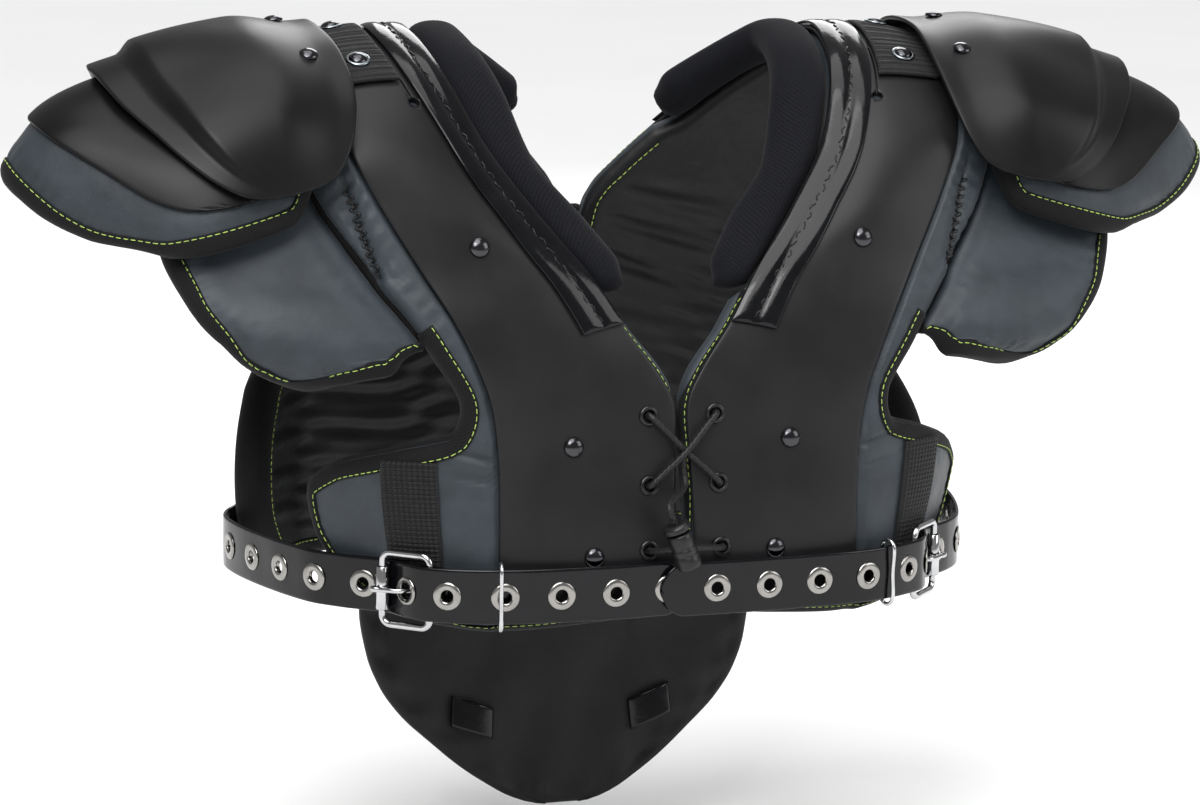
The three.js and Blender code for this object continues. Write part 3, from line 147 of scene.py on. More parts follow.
# The lower epaulet plate's outer face, rows from front to back, in percent like the body's.
EPAULET_ROWS = [
    [[7, -75, -23.2], [24, -81, -27], [43, -82, -30.5], [58, -73, -33], [71, -57, -34]],
    [[1, -71, -14.5], [23, -77, -18], [44, -78, -21.5], [66, -67, -25.5], [82, -50, -31]],
    [[-5, -55, -1.5], [22, -62, -4], [48, -63, -9], [77, -54, -15], [95, -42, -24.5]],
    [[-5, -29, 50], [24, -34, 40], [51, -37, 3], [87, -37, -6], [103.5, -31, -18.5]],
    [[-3, -2, 80], [26, -3, 73], [53, -7, 50], [90, -13, -2], [106, -18, -15.5]],
    [[-3, 34, 80], [25, 34, 64], [52, 30, 30], [85, 18, -4], [102, 3, -18]],
    [[-3, 66, 13], [23, 72, -1], [48, 68, -7], [75, 50, -14], [92, 26, -26]],
    [[1, 88, -14], [23, 92, -17.5], [44, 88, -21], [64, 72, -25], [80, 46, -31]],
    [[7, 94, -23], [23, 97, -27], [40, 95, -31], [55, 82, -33], [69, 62, -34]],
]
# Row, first and last column: the front half of each outline, mirrored about the crest row.
CREST = 4.0
PAD_EDGE = [
    (0, 0.6, 2.9), (0.15, 0.42, 3.4), (0.45, 0.38, 3.75), (1, 0.4, 3.93), (1.8, 0.62, 4),
    (2.8, 0.95, 4), (4, 1, 4),
]
CUP_EDGE = [
    (0.9, 1.3, 1.5), (0.92, 1.1, 1.75), (1.04, 0.75, 2.3), (1.4, 0.5, 2.7), (2.1, 0.36, 2.95),
    (3, 0.28, 3.15), (4, 0.26, 3.22),
]
CAP_EDGE = [
    (0.765, 0.64, 0.84), (0.78, 0.45, 1.02), (0.88, 0.18, 1.35), (1.1, 0.05, 1.68), (1.5, 0, 2.02),
    (2.15, 0, 2.28), (3, 0, 2.46), (4, 0, 2.52),
]
# The flap's share of the way down in percent, its depth and its half width in millimetres.
FLAP_ROWS = [
    (0, 96, 100), (24, 93, 100), (40, 89.5, 97), (52, 86.5, 91), (63, 84, 81), (74, 81.5, 66),
    (84, 79.5, 51), (91, 78, 38), (96, 77, 27), (99, 76.2, 16), (100, 76, 8),
]
# Rows and columns of the fasteners and of the hole at the end of the webbing's slit.
PLATE_RIVETS = {"rivet_upper": (7.34, 2.17), "rivet_mid": (3.13, 2.12), "rivet_low": (1.08, 1.94)}
EYELETS = {"eyelet_top": (3.7, 1.3), "eyelet_mid": (2.36, 1.3), "eyelet_low": (1.16, 1.31)}
CAP_RIVETS = {"cap_rivet_front": (2.95, 0.4), "cap_rivet_top": (4.4, 0.45)}
PLATE_HOLE = (9.65, 1.78)


# Curves and surfaces.
def catmull(points, t):
    """Centripetal spline through points[..., n, 3] at the shares t."""
    pts = np.asarray(points, float)
    t = np.clip(np.atleast_1d(t), 0, 1)
    count = pts.shape[-2]
    ends = (2 * pts[..., :1, :] - pts[..., 1:2, :], 2 * pts[..., -1:, :] - pts[..., -2:-1, :])
    ext = np.concatenate([ends[0], pts, ends[1]], axis=-2)
    place = (count - 1) * t
    i = np.minimum(np.floor(place).astype(int), count - 2)
    w = (place - i)[:, None]
    p0, p1, p2, p3 = (ext[..., i + k, :] for k in range(4))
    step = lambda a, b: np.maximum(np.sqrt(np.linalg.norm(b - a, axis=-1, keepdims=True)), 1e-4)
    d0, d1, d2 = step(p0, p1), step(p1, p2), step(p2, p3)
    t1 = ((p1 - p0) / d0 - (p2 - p0) / (d0 + d1) + (p2 - p1) / d1) * d1
    t2 = ((p2 - p1) / d1 - (p3 - p1) / (d1 + d2) + (p3 - p2) / d2) * d1
    return p1 + t1 * w + (-3 * p1 + 3 * p2 - 2 * t1 - t2) * w ** 2 + (2 * p1 - 2 * p2 + t1 + t2) * w ** 3


def monotone(xs, ys):
    """A monotone cubic through (xs, ys)."""
    xs, ys = np.asarray(xs, float), np.asarray(ys, float)
    gap = np.diff(xs)
    slope = np.diff(ys) / gap
    m = np.zeros(len(xs))
    m[0], m[-1] = slope[0], slope[-1]
    for k in range(1, len(xs) - 1):
        if slope[k - 1] * slope[k] > 0:
            a, b = 2 * gap[k] + gap[k - 1], gap[k] + 2 * gap[k - 1]
            m[k] = (a + b) / (a / slope[k - 1] + b / slope[k])

    def value(x):
        x = np.clip(x, xs[0], xs[-1])
        i = np.clip(np.searchsorted(xs, x) - 1, 0, len(xs) - 2)
        h = gap[i]
        u = (x - xs[i]) / h
        return (
            ys[i] * (1 + 2 * u) * (1 - u) ** 2 + h * m[i] * u * (1 - u) ** 2
            + ys[i + 1] * u ** 2 * (3 - 2 * u) + h * m[i + 1] * u ** 2 * (u - 1)
        )
    return value


def unit(v):
    return v / np.maximum(np.linalg.norm(v, axis=-1, keepdims=True), 1e-9)


def run_along(points):
    """The distance of each point of a polyline from its start."""
    return np.r_[0, np.cumsum(np.linalg.norm(np.diff(points, axis=0), axis=1))]


def sampled(where, run, points):
    """Points, or anything kept for each of them, at distances along a run."""
    return np.stack([np.interp(where, run, points[:, k]) for k in range(points.shape[1])], -1)


def angles(count):
    return np.linspace(0, 2 * np.pi, count, endpoint=False)


def smoothstep(x, low, high):
    u = np.clip((x - low) / (high - low), 0, 1)
    return u * u * (3 - 2 * u)


class Surface:
    """A dense grid of a smooth surface with outward normals, in millimetres."""

    def __init__(self, grid, rows, columns):
        self.grid, self.rows, self.columns, self.tree = grid, rows, columns, None
        self.step = ((rows[1] - rows[0]) / (grid.shape[0] - 1),
                     (columns[1] - columns[0]) / (grid.shape[1] - 1))
        self.by_row = np.gradient(grid, axis=0) / self.step[0]
        self.by_column = np.gradient(grid, axis=1) / self.step[1]
        self.normals = unit(np.cross(self.by_column, self.by_row))

    def look(self, field, row, column):
        a = (np.asarray(row, float) - self.rows[0]) / self.step[0]
        b = (np.asarray(column, float) - self.columns[0]) / self.step[1]
        a, b = np.broadcast_arrays(a, b)
        i = np.clip(np.floor(a).astype(int), 0, self.grid.shape[0] - 2)
        j = np.clip(np.floor(b).astype(int), 0, self.grid.shape[1] - 2)
        u, v = (a - i)[..., None], (b - j)[..., None]
        low = field[i, j] * (1 - v) + field[i, j + 1] * v
        high = field[i + 1, j] * (1 - v) + field[i + 1, j + 1] * v
        return low * (1 - u) + high * u

    def normal(self, row, column):
        return unit(self.look(self.normals, np.clip(row, *self.rows), np.clip(column, *self.columns)))

    def at(self, row, column, lift=0.0):
        lift = np.asarray(lift, float)[..., None]
        return self.look(self.grid, row, column) + self.normal(row, column) * lift

    def near(self, points):
        """The rows and columns of the places on the surface that are nearest to points."""
        if self.tree is None:
            thin = self.grid[::2, ::2]
            self.width = thin.shape[1]
            self.tree = KDTree(thin.shape[0] * thin.shape[1])
            for k, point in enumerate(thin.reshape(-1, 3).tolist()):
                self.tree.insert(point, k)
            self.tree.balance()
        found = np.array([self.tree.find(point)[1] for point in np.asarray(points).tolist()])
        row = self.rows[0] + (found // self.width) * 2 * self.step[0]
        column = self.columns[0] + (found % self.width) * 2 * self.step[1]
        free_row, free_column = self.moved(row, column, points - self.at(row, column))
        reach = 1.5 * np.array(self.step)
        return (np.clip(free_row, row - reach[0], row + reach[0]),
                np.clip(free_column, column - reach[1], column + reach[1]))

    def moved(self, row, column, shift):
        """The row and column reached from a place by a step in millimetres along the surface."""
        a, b = self.look(self.by_row, row, column), self.look(self.by_column, row, column)
        aa, ab, bb = (a * a).sum(-1), (a * b).sum(-1), (b * b).sum(-1)
        wa, wb = (shift * a).sum(-1), (shift * b).sum(-1)
        det = np.maximum(aa * bb - ab * ab, 0.02 * aa * bb)
        return row + (wa * bb - wb * ab) / det, column + (wb * aa - wa * ab) / det


def body_point(p):
    """Percent of the driving sizes to millimetres."""
    p = np.asarray(p, float)
    y = np.where(p[..., 1] < 0, CHEST, BACK)
    z = np.where(p[..., 2] < 0, DROP, RISE)
    return np.stack([p[..., 0] / 100 * NECK, p[..., 1] / 100 * y, p[..., 2] / 100 * z], -1)


def epaulet_point(p):
    """The same, with x as a share of the epaulet's reach from its root."""
    q = body_point(p)
    q[..., 0] = ROOT / 100 * NECK + np.asarray(p, float)[..., 0] / 100 * REACH
    return q


def surface_through(table, first_column, row_steps=50, column_steps=50):
    table = np.asarray(table, float)
    rows, columns = table.shape[0] - 1, table.shape[1] - 1
    rails = catmull(table.transpose(1, 0, 2), np.linspace(0, 1, rows * row_steps + 1))
    grid = catmull(rails.transpose(1, 0, 2), np.linspace(0, 1, columns * column_steps + 1))
    return Surface(grid, (0, rows), (first_column, first_column + columns))


body = surface_through(body_point(BODY_ROWS), 1)
epaulet = surface_through(epaulet_point(EPAULET_ROWS), 0)


def column_length(row):
    """Millimetres from column 1 to column 2."""
    return 2 * np.linalg.norm(body.at(row, 1.5) - body.at(row, 1.0), axis=-1)


outline_rows = [k[0] for k in PAD_OUTLINE]
pad_lip = lambda row: np.interp(row, outline_rows, [k[1] for k in PAD_OUTLINE])
pad_reach = monotone(outline_rows, [k[2] for k in PAD_OUTLINE])
pad_start = lambda row: 1 - pad_lip(row) / column_length(row)


# Meshes.
def tidy_path(points, step, closed=False):
    """A polyline resampled to about one step."""
    points = np.asarray(points, float)
    if closed:
        points = np.vstack([points, points[:1]])
    run = run_along(points)
    out = sampled(np.linspace(0, run[-1], max(2, int(round(run[-1] / step)) + 1)), run, points)
    return out[:-1] if closed else out


def outward(verts, faces):
    """The faces, all turned round if they make the solid inside out."""
    verts = np.asarray(verts, float)
    volume = 0.0
    for size in {len(f) for f in faces}:
        index = np.array([f for f in faces if len(f) == size])
        for k in range(1, size - 1):
            a, b, c = verts[index[:, 0]], verts[index[:, k]], verts[index[:, k + 1]]
            volume += (np.cross(a, b) * c).sum()
    return [list(f)[::-1] for f in faces] if volume < 0 else [list(f) for f in faces]


def finish_mesh(name, part, materials, smooth=True):
    """An object from a part: vertices in millimetres and faces, and for some cloth coordinates and the
    number of the material on each face."""
    verts, faces, uv, marks = (*part, None, None)[:4]
    mesh = bpy.data.meshes.new(name)
    faces = outward(verts, faces)
    mesh.from_pydata((np.asarray(verts) * MM).tolist(), [], [list(map(int, f)) for f in faces])
    for material in materials:
        mesh.materials.append(material)
    if len(materials) > 1:
        mesh.polygons.foreach_set("material_index", np.asarray(marks, dtype=np.int32))
    mesh.polygons.foreach_set("use_smooth", [smooth] * len(mesh.polygons))
    if uv is not None:
        layer = mesh.uv_layers.new(name="cloth")
        loops = np.zeros(len(mesh.loops), dtype=np.int32)
        mesh.loops.foreach_get("vertex_index", loops)
        layer.data.foreach_set("uv", (np.asarray(uv)[loops] * MM).ravel())
    mesh.validate()
    mesh.update()
    return add_object(name, mesh)


def dress(obj, slot, *nodes):
    """Puts a piece on the body, and in the place of nodes of the CAD. The slot is not used."""
    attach(obj, "root")
    if nodes:
        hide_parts(*nodes)
    return obj


def mirrored(part, sign):
    """The part itself for 1, its mirror image for -1; finish_mesh turns the faces outward."""
    return (np.asarray(part[0]) * [sign, 1, 1], *part[1:])


def both_sides(name, part, materials, slot, node=None):
    """A piece on the wearer's left and its mirror image on the right."""
    made = []
    for side, sign in SIDES:
        obj = finish_mesh(f"{name}_{side}", mirrored(part, sign), materials)
        dress(obj, slot, *([f"{node}_{side}"] if node else []))
        made.append(obj)
    return made


def join(parts):
    """Several parts as one."""
    verts, faces, base = [], [], 0
    for v, f in parts:
        f = outward(v, f)
        verts.append(np.asarray(v))
        faces.extend([[base + k for k in face] for face in f])
        base += len(v)
    return np.vstack(verts), faces


def rim_of(grid):
    """The grid's rim as one closed run of points."""
    return np.vstack([grid[0, :-1], grid[:-1, -1], grid[-1, :0:-1], grid[:0:-1, 0]])


RIM_BATCH = 4000


def rim_distance(grid):
    """Distance of each grid point to the rim, and how far round the rim its foot lies."""
    rim = rim_of(grid)
    run = run_along(rim)
    flat = grid.reshape(-1, 3)
    best, foot = np.empty(len(flat)), np.empty(len(flat))
    for a in range(0, len(flat), RIM_BATCH):
        d = np.linalg.norm(flat[a:a + RIM_BATCH, None] - rim[None], axis=2)
        k = d.argmin(1)
        best[a:a + RIM_BATCH] = d[np.arange(len(k)), k]
        foot[a:a + RIM_BATCH] = run[k]
    return best.reshape(grid.shape[:2]), foot.reshape(grid.shape[:2])


def spread(start, stop, length, count, rim):
    """Values from start to stop, closer together near both ends."""
    length = np.atleast_1d(np.asarray(length, float))[:, None]
    near = np.asarray(rim)[None] * np.minimum(1, length / (2.4 * rim[-1]))
    inner = near[:, -1:] + (length - 2 * near[:, -1:]) * np.linspace(0, 1, count)[None, 1:-1]
    share = np.concatenate([near, inner, length - near[:, ::-1]], 1) / length
    return np.atleast_1d(start)[:, None] + (np.atleast_1d(stop) - np.atleast_1d(start))[:, None] * share


# Distances from the rim of the first lines of a patch, in millimetres.
PLATE_RIM = (0, 0.1, 0.35, 0.75, 1.3, 3)
PAD_RIM = (0, 0.25, 0.8, 1.7, 3, 4.6, 6.4, 8.6)


def patch(surface, first, last, edges, counts, rim, outer_share=0.0):
    """Rows and columns of a patch between two edges, spaced evenly and closer at its rim.

    outer_share brings rows closer where the outer edge runs across them.
    """
    trial = np.linspace(first, last, 1200)
    low, high = edges(trial)
    steps = np.linalg.norm(np.diff(surface.at(trial, (low + high) / 2), axis=0), axis=1)
    outer_steps = np.linalg.norm(np.diff(surface.at(trial, high), axis=0), axis=1)
    run = np.r_[0, np.cumsum(np.maximum(steps, outer_share * outer_steps))]
    rows = np.interp(spread(0.0, run[-1], run[-1], counts[0], rim)[0], run, trial)
    low, high = edges(rows)
    fine = low[:, None] + (high - low)[:, None] * np.linspace(0, 1, 24)[None]
    width = np.linalg.norm(np.diff(surface.at(rows[:, None], fine), axis=1), axis=2).sum(1)
    columns = spread(low, high, np.maximum(width, 1.0), counts[1], rim)
    return np.repeat(rows[:, None], columns.shape[1], 1), columns


def cloth_uv(grid):
    """Millimetres across and along a grid, from its middle line."""
    across = np.cumsum(np.linalg.norm(np.diff(grid, axis=1, prepend=grid[:, :1]), axis=2), axis=1)
    across = across - across[:, [grid.shape[1] // 2]]
    along = run_along(grid[:, grid.shape[1] // 2])
    return np.stack([across, np.repeat(along[:, None], grid.shape[1], 1)], -1)


def closed_shell(upper, lower, base):
    """A part between two sheets that share their rim, with cloth coordinates from the base."""
    rows, columns = base.shape[:2]
    top = np.arange(rows * columns).reshape(rows, columns)
    bottom = top.copy()
    bottom[1:-1, 1:-1] = np.arange((rows - 2) * (columns - 2)).reshape(rows - 2, columns - 2) + top.size
    up = np.stack([top[:-1, :-1], top[:-1, 1:], top[1:, 1:], top[1:, :-1]], -1).reshape(-1, 4)
    down = np.stack([bottom[:-1, :-1], bottom[1:, :-1], bottom[1:, 1:], bottom[:-1, 1:]], -1).reshape(-1, 4)
    verts = np.vstack([upper.reshape(-1, 3), lower[1:-1, 1:-1].reshape(-1, 3)])
    uv = cloth_uv(base)
    uv = np.vstack([uv.reshape(-1, 2), uv[1:-1, 1:-1].reshape(-1, 2)])
    return verts, np.vstack([up, down]).tolist(), uv, np.repeat([0, 1], [len(up), len(down)])


def shell_on(surface, rows, columns, heights):
    """A closed shell on a surface; heights(edge, foot, rows, columns) gives its two lifts."""
    base = surface.at(rows, columns)
    top, bottom = heights(*rim_distance(base), rows, columns)
    return closed_shell(surface.at(rows, columns, top), surface.at(rows, columns, bottom), base)


def round_rim(edge, radius):
    """0 on the rim, rising to 1 at the radius as a quarter circle."""
    u = 1 - np.clip(edge / radius, 0, 1)
    return np.sqrt(np.maximum(0, 1 - u * u))


def slab(wall):
    """Heights of an even sheet with its outer face on the surface and a rounded rim."""
    half = wall / 2

    def heights(edge, foot, rows, columns):
        swell = half * round_rim(edge, half)
        return swell - half, -half - swell
    return heights


def frames_along(points, closed=False):
    """Tangents of a line and two directions across it that don't twist round it."""
    if closed:
        tangent = unit(np.roll(points, -1, 0) - np.roll(points, 1, 0))
    else:
        tangent = unit(np.gradient(points, axis=0))
    side = np.empty_like(points)
    first = np.cross(tangent[0], [0, 0, 1.0])
    if np.linalg.norm(first) < 0.1:
        first = np.cross(tangent[0], [0, 1.0, 0])
    side[0] = first / np.linalg.norm(first)
    for k in range(1, len(points)):
        s = side[k - 1] - tangent[k] * (side[k - 1] @ tangent[k])
        side[k] = s / np.linalg.norm(s)
    if closed:
        end = side[-1] - tangent[0] * (side[-1] @ tangent[0])
        end = end / np.linalg.norm(end)
        twist = math.atan2(np.cross(side[0], end) @ tangent[0], side[0] @ end)
        turn = -twist * np.arange(len(points)) / len(points)
        other = np.cross(tangent, side)
        side = side * np.cos(turn)[:, None] + other * np.sin(turn)[:, None]
    return tangent, side, np.cross(tangent, side)


def ring_mesh(rings, closed=False):
    """Quads through rings of points [k, sides, 3], capped at both ends when it is open."""
    count, sides = rings.shape[:2]
    index = np.arange(count * sides).reshape(count, sides)
    following = np.roll(index, -1, 0) if closed else index[1:]
    here = index if closed else index[:-1]
    quads = np.stack([here, np.roll(here, -1, 1), np.roll(following, -1, 1), following], -1).reshape(-1, 4)
    verts = rings.reshape(-1, 3)
    faces = quads.tolist()
    if not closed:
        verts = np.vstack([verts, rings[0].mean(0), rings[-1].mean(0)])
        first, last = len(verts) - 2, len(verts) - 1
        for j in range(sides):
            k = (j + 1) % sides
            faces.append([first, int(index[0, k]), int(index[0, j])])
            faces.append([last, int(index[-1, j]), int(index[-1, k])])
    return verts, faces


def rings_round(line, side, other, reach):
    """Rings of points round a line, with the radii reach[k, sides]."""
    angle = angles(reach.shape[1])
    spokes = side[:, None] * np.cos(angle)[None, :, None] + other[:, None] * np.sin(angle)[None, :, None]
    return line[:, None] + spokes * reach[..., None]


def tube(points, radius, sides, closed=False):
    """A round wire along dense points; the ends of an open one are rounded."""
    points = np.asarray(points, float)
    side, other = frames_along(points, closed)[1:]
    reach = np.broadcast_to(np.asarray(radius, float), (len(points),))
    if not closed:
        run = run_along(points)
        reach = reach * np.clip(round_rim(np.minimum(run, run[-1] - run), reach.max()), 0.12, 1)
    return ring_mesh(rings_round(points, side, other, np.repeat(reach[:, None], sides, 1)), closed)


def lathe(profile, sides=40):
    """A closed solid of revolution about +Z from (radius, height) pairs, its outline run round."""
    angle = angles(sides)
    verts, faces, index = [], [], []
    for radius, height in profile:
        if radius < 1e-6:
            index.append([len(verts)] * sides)
            verts.append([0, 0, height])
        else:
            index.append(list(range(len(verts), len(verts) + sides)))
            verts.extend(zip(radius * np.cos(angle), radius * np.sin(angle), [height] * sides))
    for k, a in enumerate(index):
        b = index[(k + 1) % len(index)]
        for j in range(sides):
            m = (j + 1) % sides
            face = list(dict.fromkeys((a[j], a[m], b[m], b[j])))
            if len(face) > 2:
                faces.append(face)
    return np.array(verts), faces


def drill(radius, reach):
    """A cylinder that cuts a hole."""
    return lathe([(0, -reach), (radius, -reach), (radius, reach), (0, reach)], 24)


def standing(part, point, normal):
    """A part made along +Z, stood at a point along a direction."""
    normal = np.asarray(normal, float) / np.linalg.norm(normal)
    x = unit(np.cross([0, 0, 1.0] if abs(normal[2]) < 0.9 else [0, 1.0, 0], normal))
    y = np.cross(normal, x)
    v, f = part
    v = np.asarray(v)
    return np.asarray(point) + v[:, :1] * x + v[:, 1:2] * y + v[:, 2:] * normal, f


def stood_on(surface, place, part, lift=0.0):
    """A part stood on a surface at a row and column."""
    return standing(part, surface.at(*place, lift), surface.normal(*place))


# A stitch's five stations: the share of its length, and its height and radius in thread radii.
STITCH_SHARE = np.array([0, 0.12, 0.5, 0.88, 1.0])
STITCH_RISE = np.array([-0.85, 0.2, 0.6, 0.2, -0.85])
STITCH_REACH = np.repeat([[0.5], [0.95], [1.05], [0.95], [0.5]], 5, 1)


def dashes(points, normals, dash, pause, radius, keep=None):
    """Stitches: short threads that rise out of the cloth and dip back into it."""
    run = run_along(points)
    parts = []
    start = pause
    while start + dash < run[-1]:
        where = start + dash * STITCH_SHARE
        start += dash + pause
        if keep is not None and np.interp(where[2], run, keep) < 0.5:
            continue
        up = unit(sampled(where, run, normals))
        centre = sampled(where, run, points) + up * (radius * STITCH_RISE)[:, None]
        tangent = unit(np.gradient(centre, axis=0))
        side = unit(np.cross(tangent, up))
        parts.append(ring_mesh(rings_round(centre, side, np.cross(side, tangent), radius * STITCH_REACH)))
    return join(parts)


def without(obj, cutters):
    """Cuts solids out of an object's mesh."""
    cutter = finish_mesh("cutter", join(cutters), [], smooth=False)
    change = obj.modifiers.new("holes", "BOOLEAN")
    change.operation, change.solver, change.object = "DIFFERENCE", "EXACT", cutter
    bpy.context.view_layer.update()
    depsgraph = bpy.context.evaluated_depsgraph_get()
    mesh = bpy.data.meshes.new_from_object(obj.evaluated_get(depsgraph))
    obj.modifiers.clear()
    obj.data = mesh
    bpy.data.objects.remove(cutter)


# Materials, all from nodes.
class Build:
    """A principled material and short calls that add nodes to it."""

    def __init__(self, name, colour, roughness, metallic=0.0, **sockets):
        self.material = bpy.data.materials.new(name)
        self.material.use_nodes = True
        self.tree = self.material.node_tree
        self.shader = self.tree.nodes["Principled BSDF"]
        self.material.diffuse_color = (*colour, 1)
        self.set("Base Color", (*colour, 1))
        self.set("Roughness", roughness)
        self.set("Metallic", metallic)
        for key, value in sockets.items():
            self.set(key.replace("_", " "), value)
        self.colour = colour

    def set(self, socket, value):
        self.shader.inputs[socket].default_value = value

    def add(self, kind, **values):
        node = self.tree.nodes.new("ShaderNode" + kind)
        for key, value in values.items():
            if hasattr(node, key):
                setattr(node, key, value)
            else:
                node.inputs[key.replace("_", " ")].default_value = value
        return node

    def link(self, a, b):
        self.tree.links.new(a, b)

    def noise(self, scale, detail):
        node = self.add("TexNoise", Scale=scale, Detail=detail, Roughness=0.55)
        self.link(self.add("TexCoord").outputs["Object"], node.inputs["Vector"])
        return node.outputs["Fac"]

    def bands(self, scale, direction):
        """Ribs over the cloth coordinates."""
        node = self.add("TexWave", wave_type="BANDS", bands_direction=direction, wave_profile="SIN",
                        Scale=scale, Distortion=0.0)
        self.link(self.add("UVMap", uv_map="cloth").outputs["UV"], node.inputs["Vector"])
        return node.outputs["Fac"]

    def math(self, kind, a, b):
        node = self.add("Math", operation=kind)
        for socket, value in zip(node.inputs, (a, b)):
            if isinstance(value, (int, float)):
                socket.default_value = value
            else:
                self.link(value, socket)
        return node.outputs["Value"]

    def vary_colour(self, factor, darker, lighter, low=0.35, high=0.65):
        ramp = self.add("ValToRGB")
        ramp.color_ramp.elements[0].position, ramp.color_ramp.elements[1].position = low, high
        ramp.color_ramp.elements[0].color = (*[c * darker for c in self.colour], 1)
        ramp.color_ramp.elements[1].color = (*[min(1, c * lighter) for c in self.colour], 1)
        self.link(factor, ramp.inputs["Fac"])
        self.link(ramp.outputs["Color"], self.shader.inputs["Base Color"])

    def vary_roughness(self, factor, low, high):
        node = self.add("MapRange", To_Min=low, To_Max=high)
        self.link(factor, node.inputs["Value"])
        self.link(node.outputs["Result"], self.shader.inputs["Roughness"])

    def bump(self, *layers):
        """Layers of (height, strength, distance in millimetres)."""
        previous = None
        for height, strength, distance in layers:
            node = self.add("Bump", Strength=strength, Distance=distance * MM)
            self.link(height, node.inputs["Height"])
            if previous:
                self.link(previous, node.inputs["Normal"])
            previous = node.outputs["Normal"]
        self.link(previous, self.shader.inputs["Normal"])


def plate_material(name, colour, roughness, shine):
    m = Build(name, colour, roughness, Specular_IOR_Level=shine)
    grain, wear = m.noise(2600, 2), m.noise(38, 4)
    m.vary_colour(wear, 0.86, 1.16)
    m.vary_roughness(wear, roughness - 0.05, roughness + 0.07)
    m.bump((grain, 0.35, 0.05), (m.noise(60, 2), 0.25, 0.25))
    return m.material


def soft(name, colour, roughness, sheen, sheen_roughness, specular):
    """A material with the faint sheen of cloth."""
    return Build(name, colour, roughness, Sheen_Weight=sheen, Sheen_Roughness=sheen_roughness,
                 Specular_IOR_Level=specular)


def nylon_material(name, colour, roughness, sheen=0.08):
    m = soft(name, colour, roughness, sheen, 0.4, 0.3)
    weave = m.math("ADD", m.bands(330, "X"), m.bands(330, "Y"))
    crinkle = m.noise(190, 4)
    # The soft blotches of darker and lighter tone from this noise are painted shading, on the nylon, the
    # lining and the flap alike.
    m.vary_colour(m.noise(45, 4), 0.82, 1.2)
    m.vary_roughness(crinkle, roughness - 0.08, roughness + 0.1)
    m.bump((weave, 0.25, 0.08), (crinkle, 0.35, 0.35), (m.noise(48, 3), 0.5, 1.4))
    return m.material


def twill_material(name, colour, roughness):
    m = soft(name, colour, roughness, 0.03, 0.5, 0.14)
    twill = m.bands(330, "DIAGONAL")
    m.vary_colour(twill, 0.7, 1.4, 0.2, 0.85)
    m.vary_roughness(m.noise(120, 3), roughness - 0.06, roughness + 0.08)
    m.bump((twill, 0.4, 0.15), (m.noise(110, 3), 0.4, 0.6), (m.noise(700, 2), 0.3, 0.1))
    return m.material


def knit_material():
    m = soft("knit", (0.004, 0.0042, 0.006), 0.95, 0.03, 0.5, 0.12)
    rib = m.bands(300, "DIAGONAL")
    fuzz = m.noise(1500, 3)
    m.vary_colour(m.math("ADD", m.math("MULTIPLY", rib, 0.2), m.math("MULTIPLY", fuzz, 0.8)), 0.65, 1.6)
    m.vary_roughness(fuzz, 0.85, 1.0)
    m.bump((rib, 0.18, 0.1), (fuzz, 0.6, 0.3))
    return m.material


def vinyl_material():
    m = Build("vinyl", (0.0022, 0.0023, 0.003), 0.1, Specular_IOR_Level=0.22, Coat_Weight=0.08,
              Coat_Roughness=0.05)
    crease = m.noise(70, 5)
    m.vary_colour(crease, 0.8, 1.5)
    m.vary_roughness(m.noise(220, 4), 0.08, 0.2)
    m.bump((m.noise(1500, 2), 0.12, 0.05), (crease, 0.35, 0.6))
    return m.material


def webbing_material():
    m = soft("webbing", (0.006, 0.006, 0.0065), 0.7, 0.06, 0.4, 0.25)
    ribs, picks = m.bands(125, "X"), m.bands(260, "Y")
    m.vary_colour(m.math("MULTIPLY", ribs, picks), 0.5, 2.2, 0.1, 0.7)
    m.vary_roughness(m.noise(300, 3), 0.62, 0.85)
    m.bump((picks, 0.5, 0.25), (ribs, 0.6, 0.4))
    return m.material


def metal_material(name, colour, roughness):
    m = Build(name, colour, roughness, 1.0)
    scratch = m.noise(400, 5)
    m.vary_colour(m.noise(150, 3), 0.9, 1.08)
    m.vary_roughness(scratch, max(0.03, roughness - 0.05), roughness + 0.1)
    m.bump((scratch, 0.08, 0.05))
    return m.material


def gloss_material(name, colour, roughness):
    m = Build(name, colour, roughness, Specular_IOR_Level=0.35)
    m.vary_colour(m.noise(120, 3), 0.85, 1.3)
    m.vary_roughness(m.noise(260, 3), roughness * 0.8, roughness * 1.4)
    m.bump((m.noise(900, 2), 0.15, 0.08))
    return m.material


def cord_material():
    m = soft("cord", (0.0045, 0.0045, 0.005), 0.45, 0.03, 0.4, 0.3)
    strand = m.noise(1800, 3)
    m.vary_colour(strand, 0.6, 1.9)
    m.vary_roughness(strand, 0.35, 0.6)
    m.bump((strand, 0.4, 0.12))
    return m.material


def thread_material(name, colour, roughness=0.5):
    m = Build(name, colour, roughness, Sheen_Weight=0.03, Specular_IOR_Level=0.3)
    m.vary_colour(m.noise(900, 2), 0.75, 1.15)
    m.vary_roughness(m.noise(1500, 2), roughness - 0.1, roughness + 0.1)
    m.bump((m.noise(2500, 2), 0.4, 0.1))
    return m.material


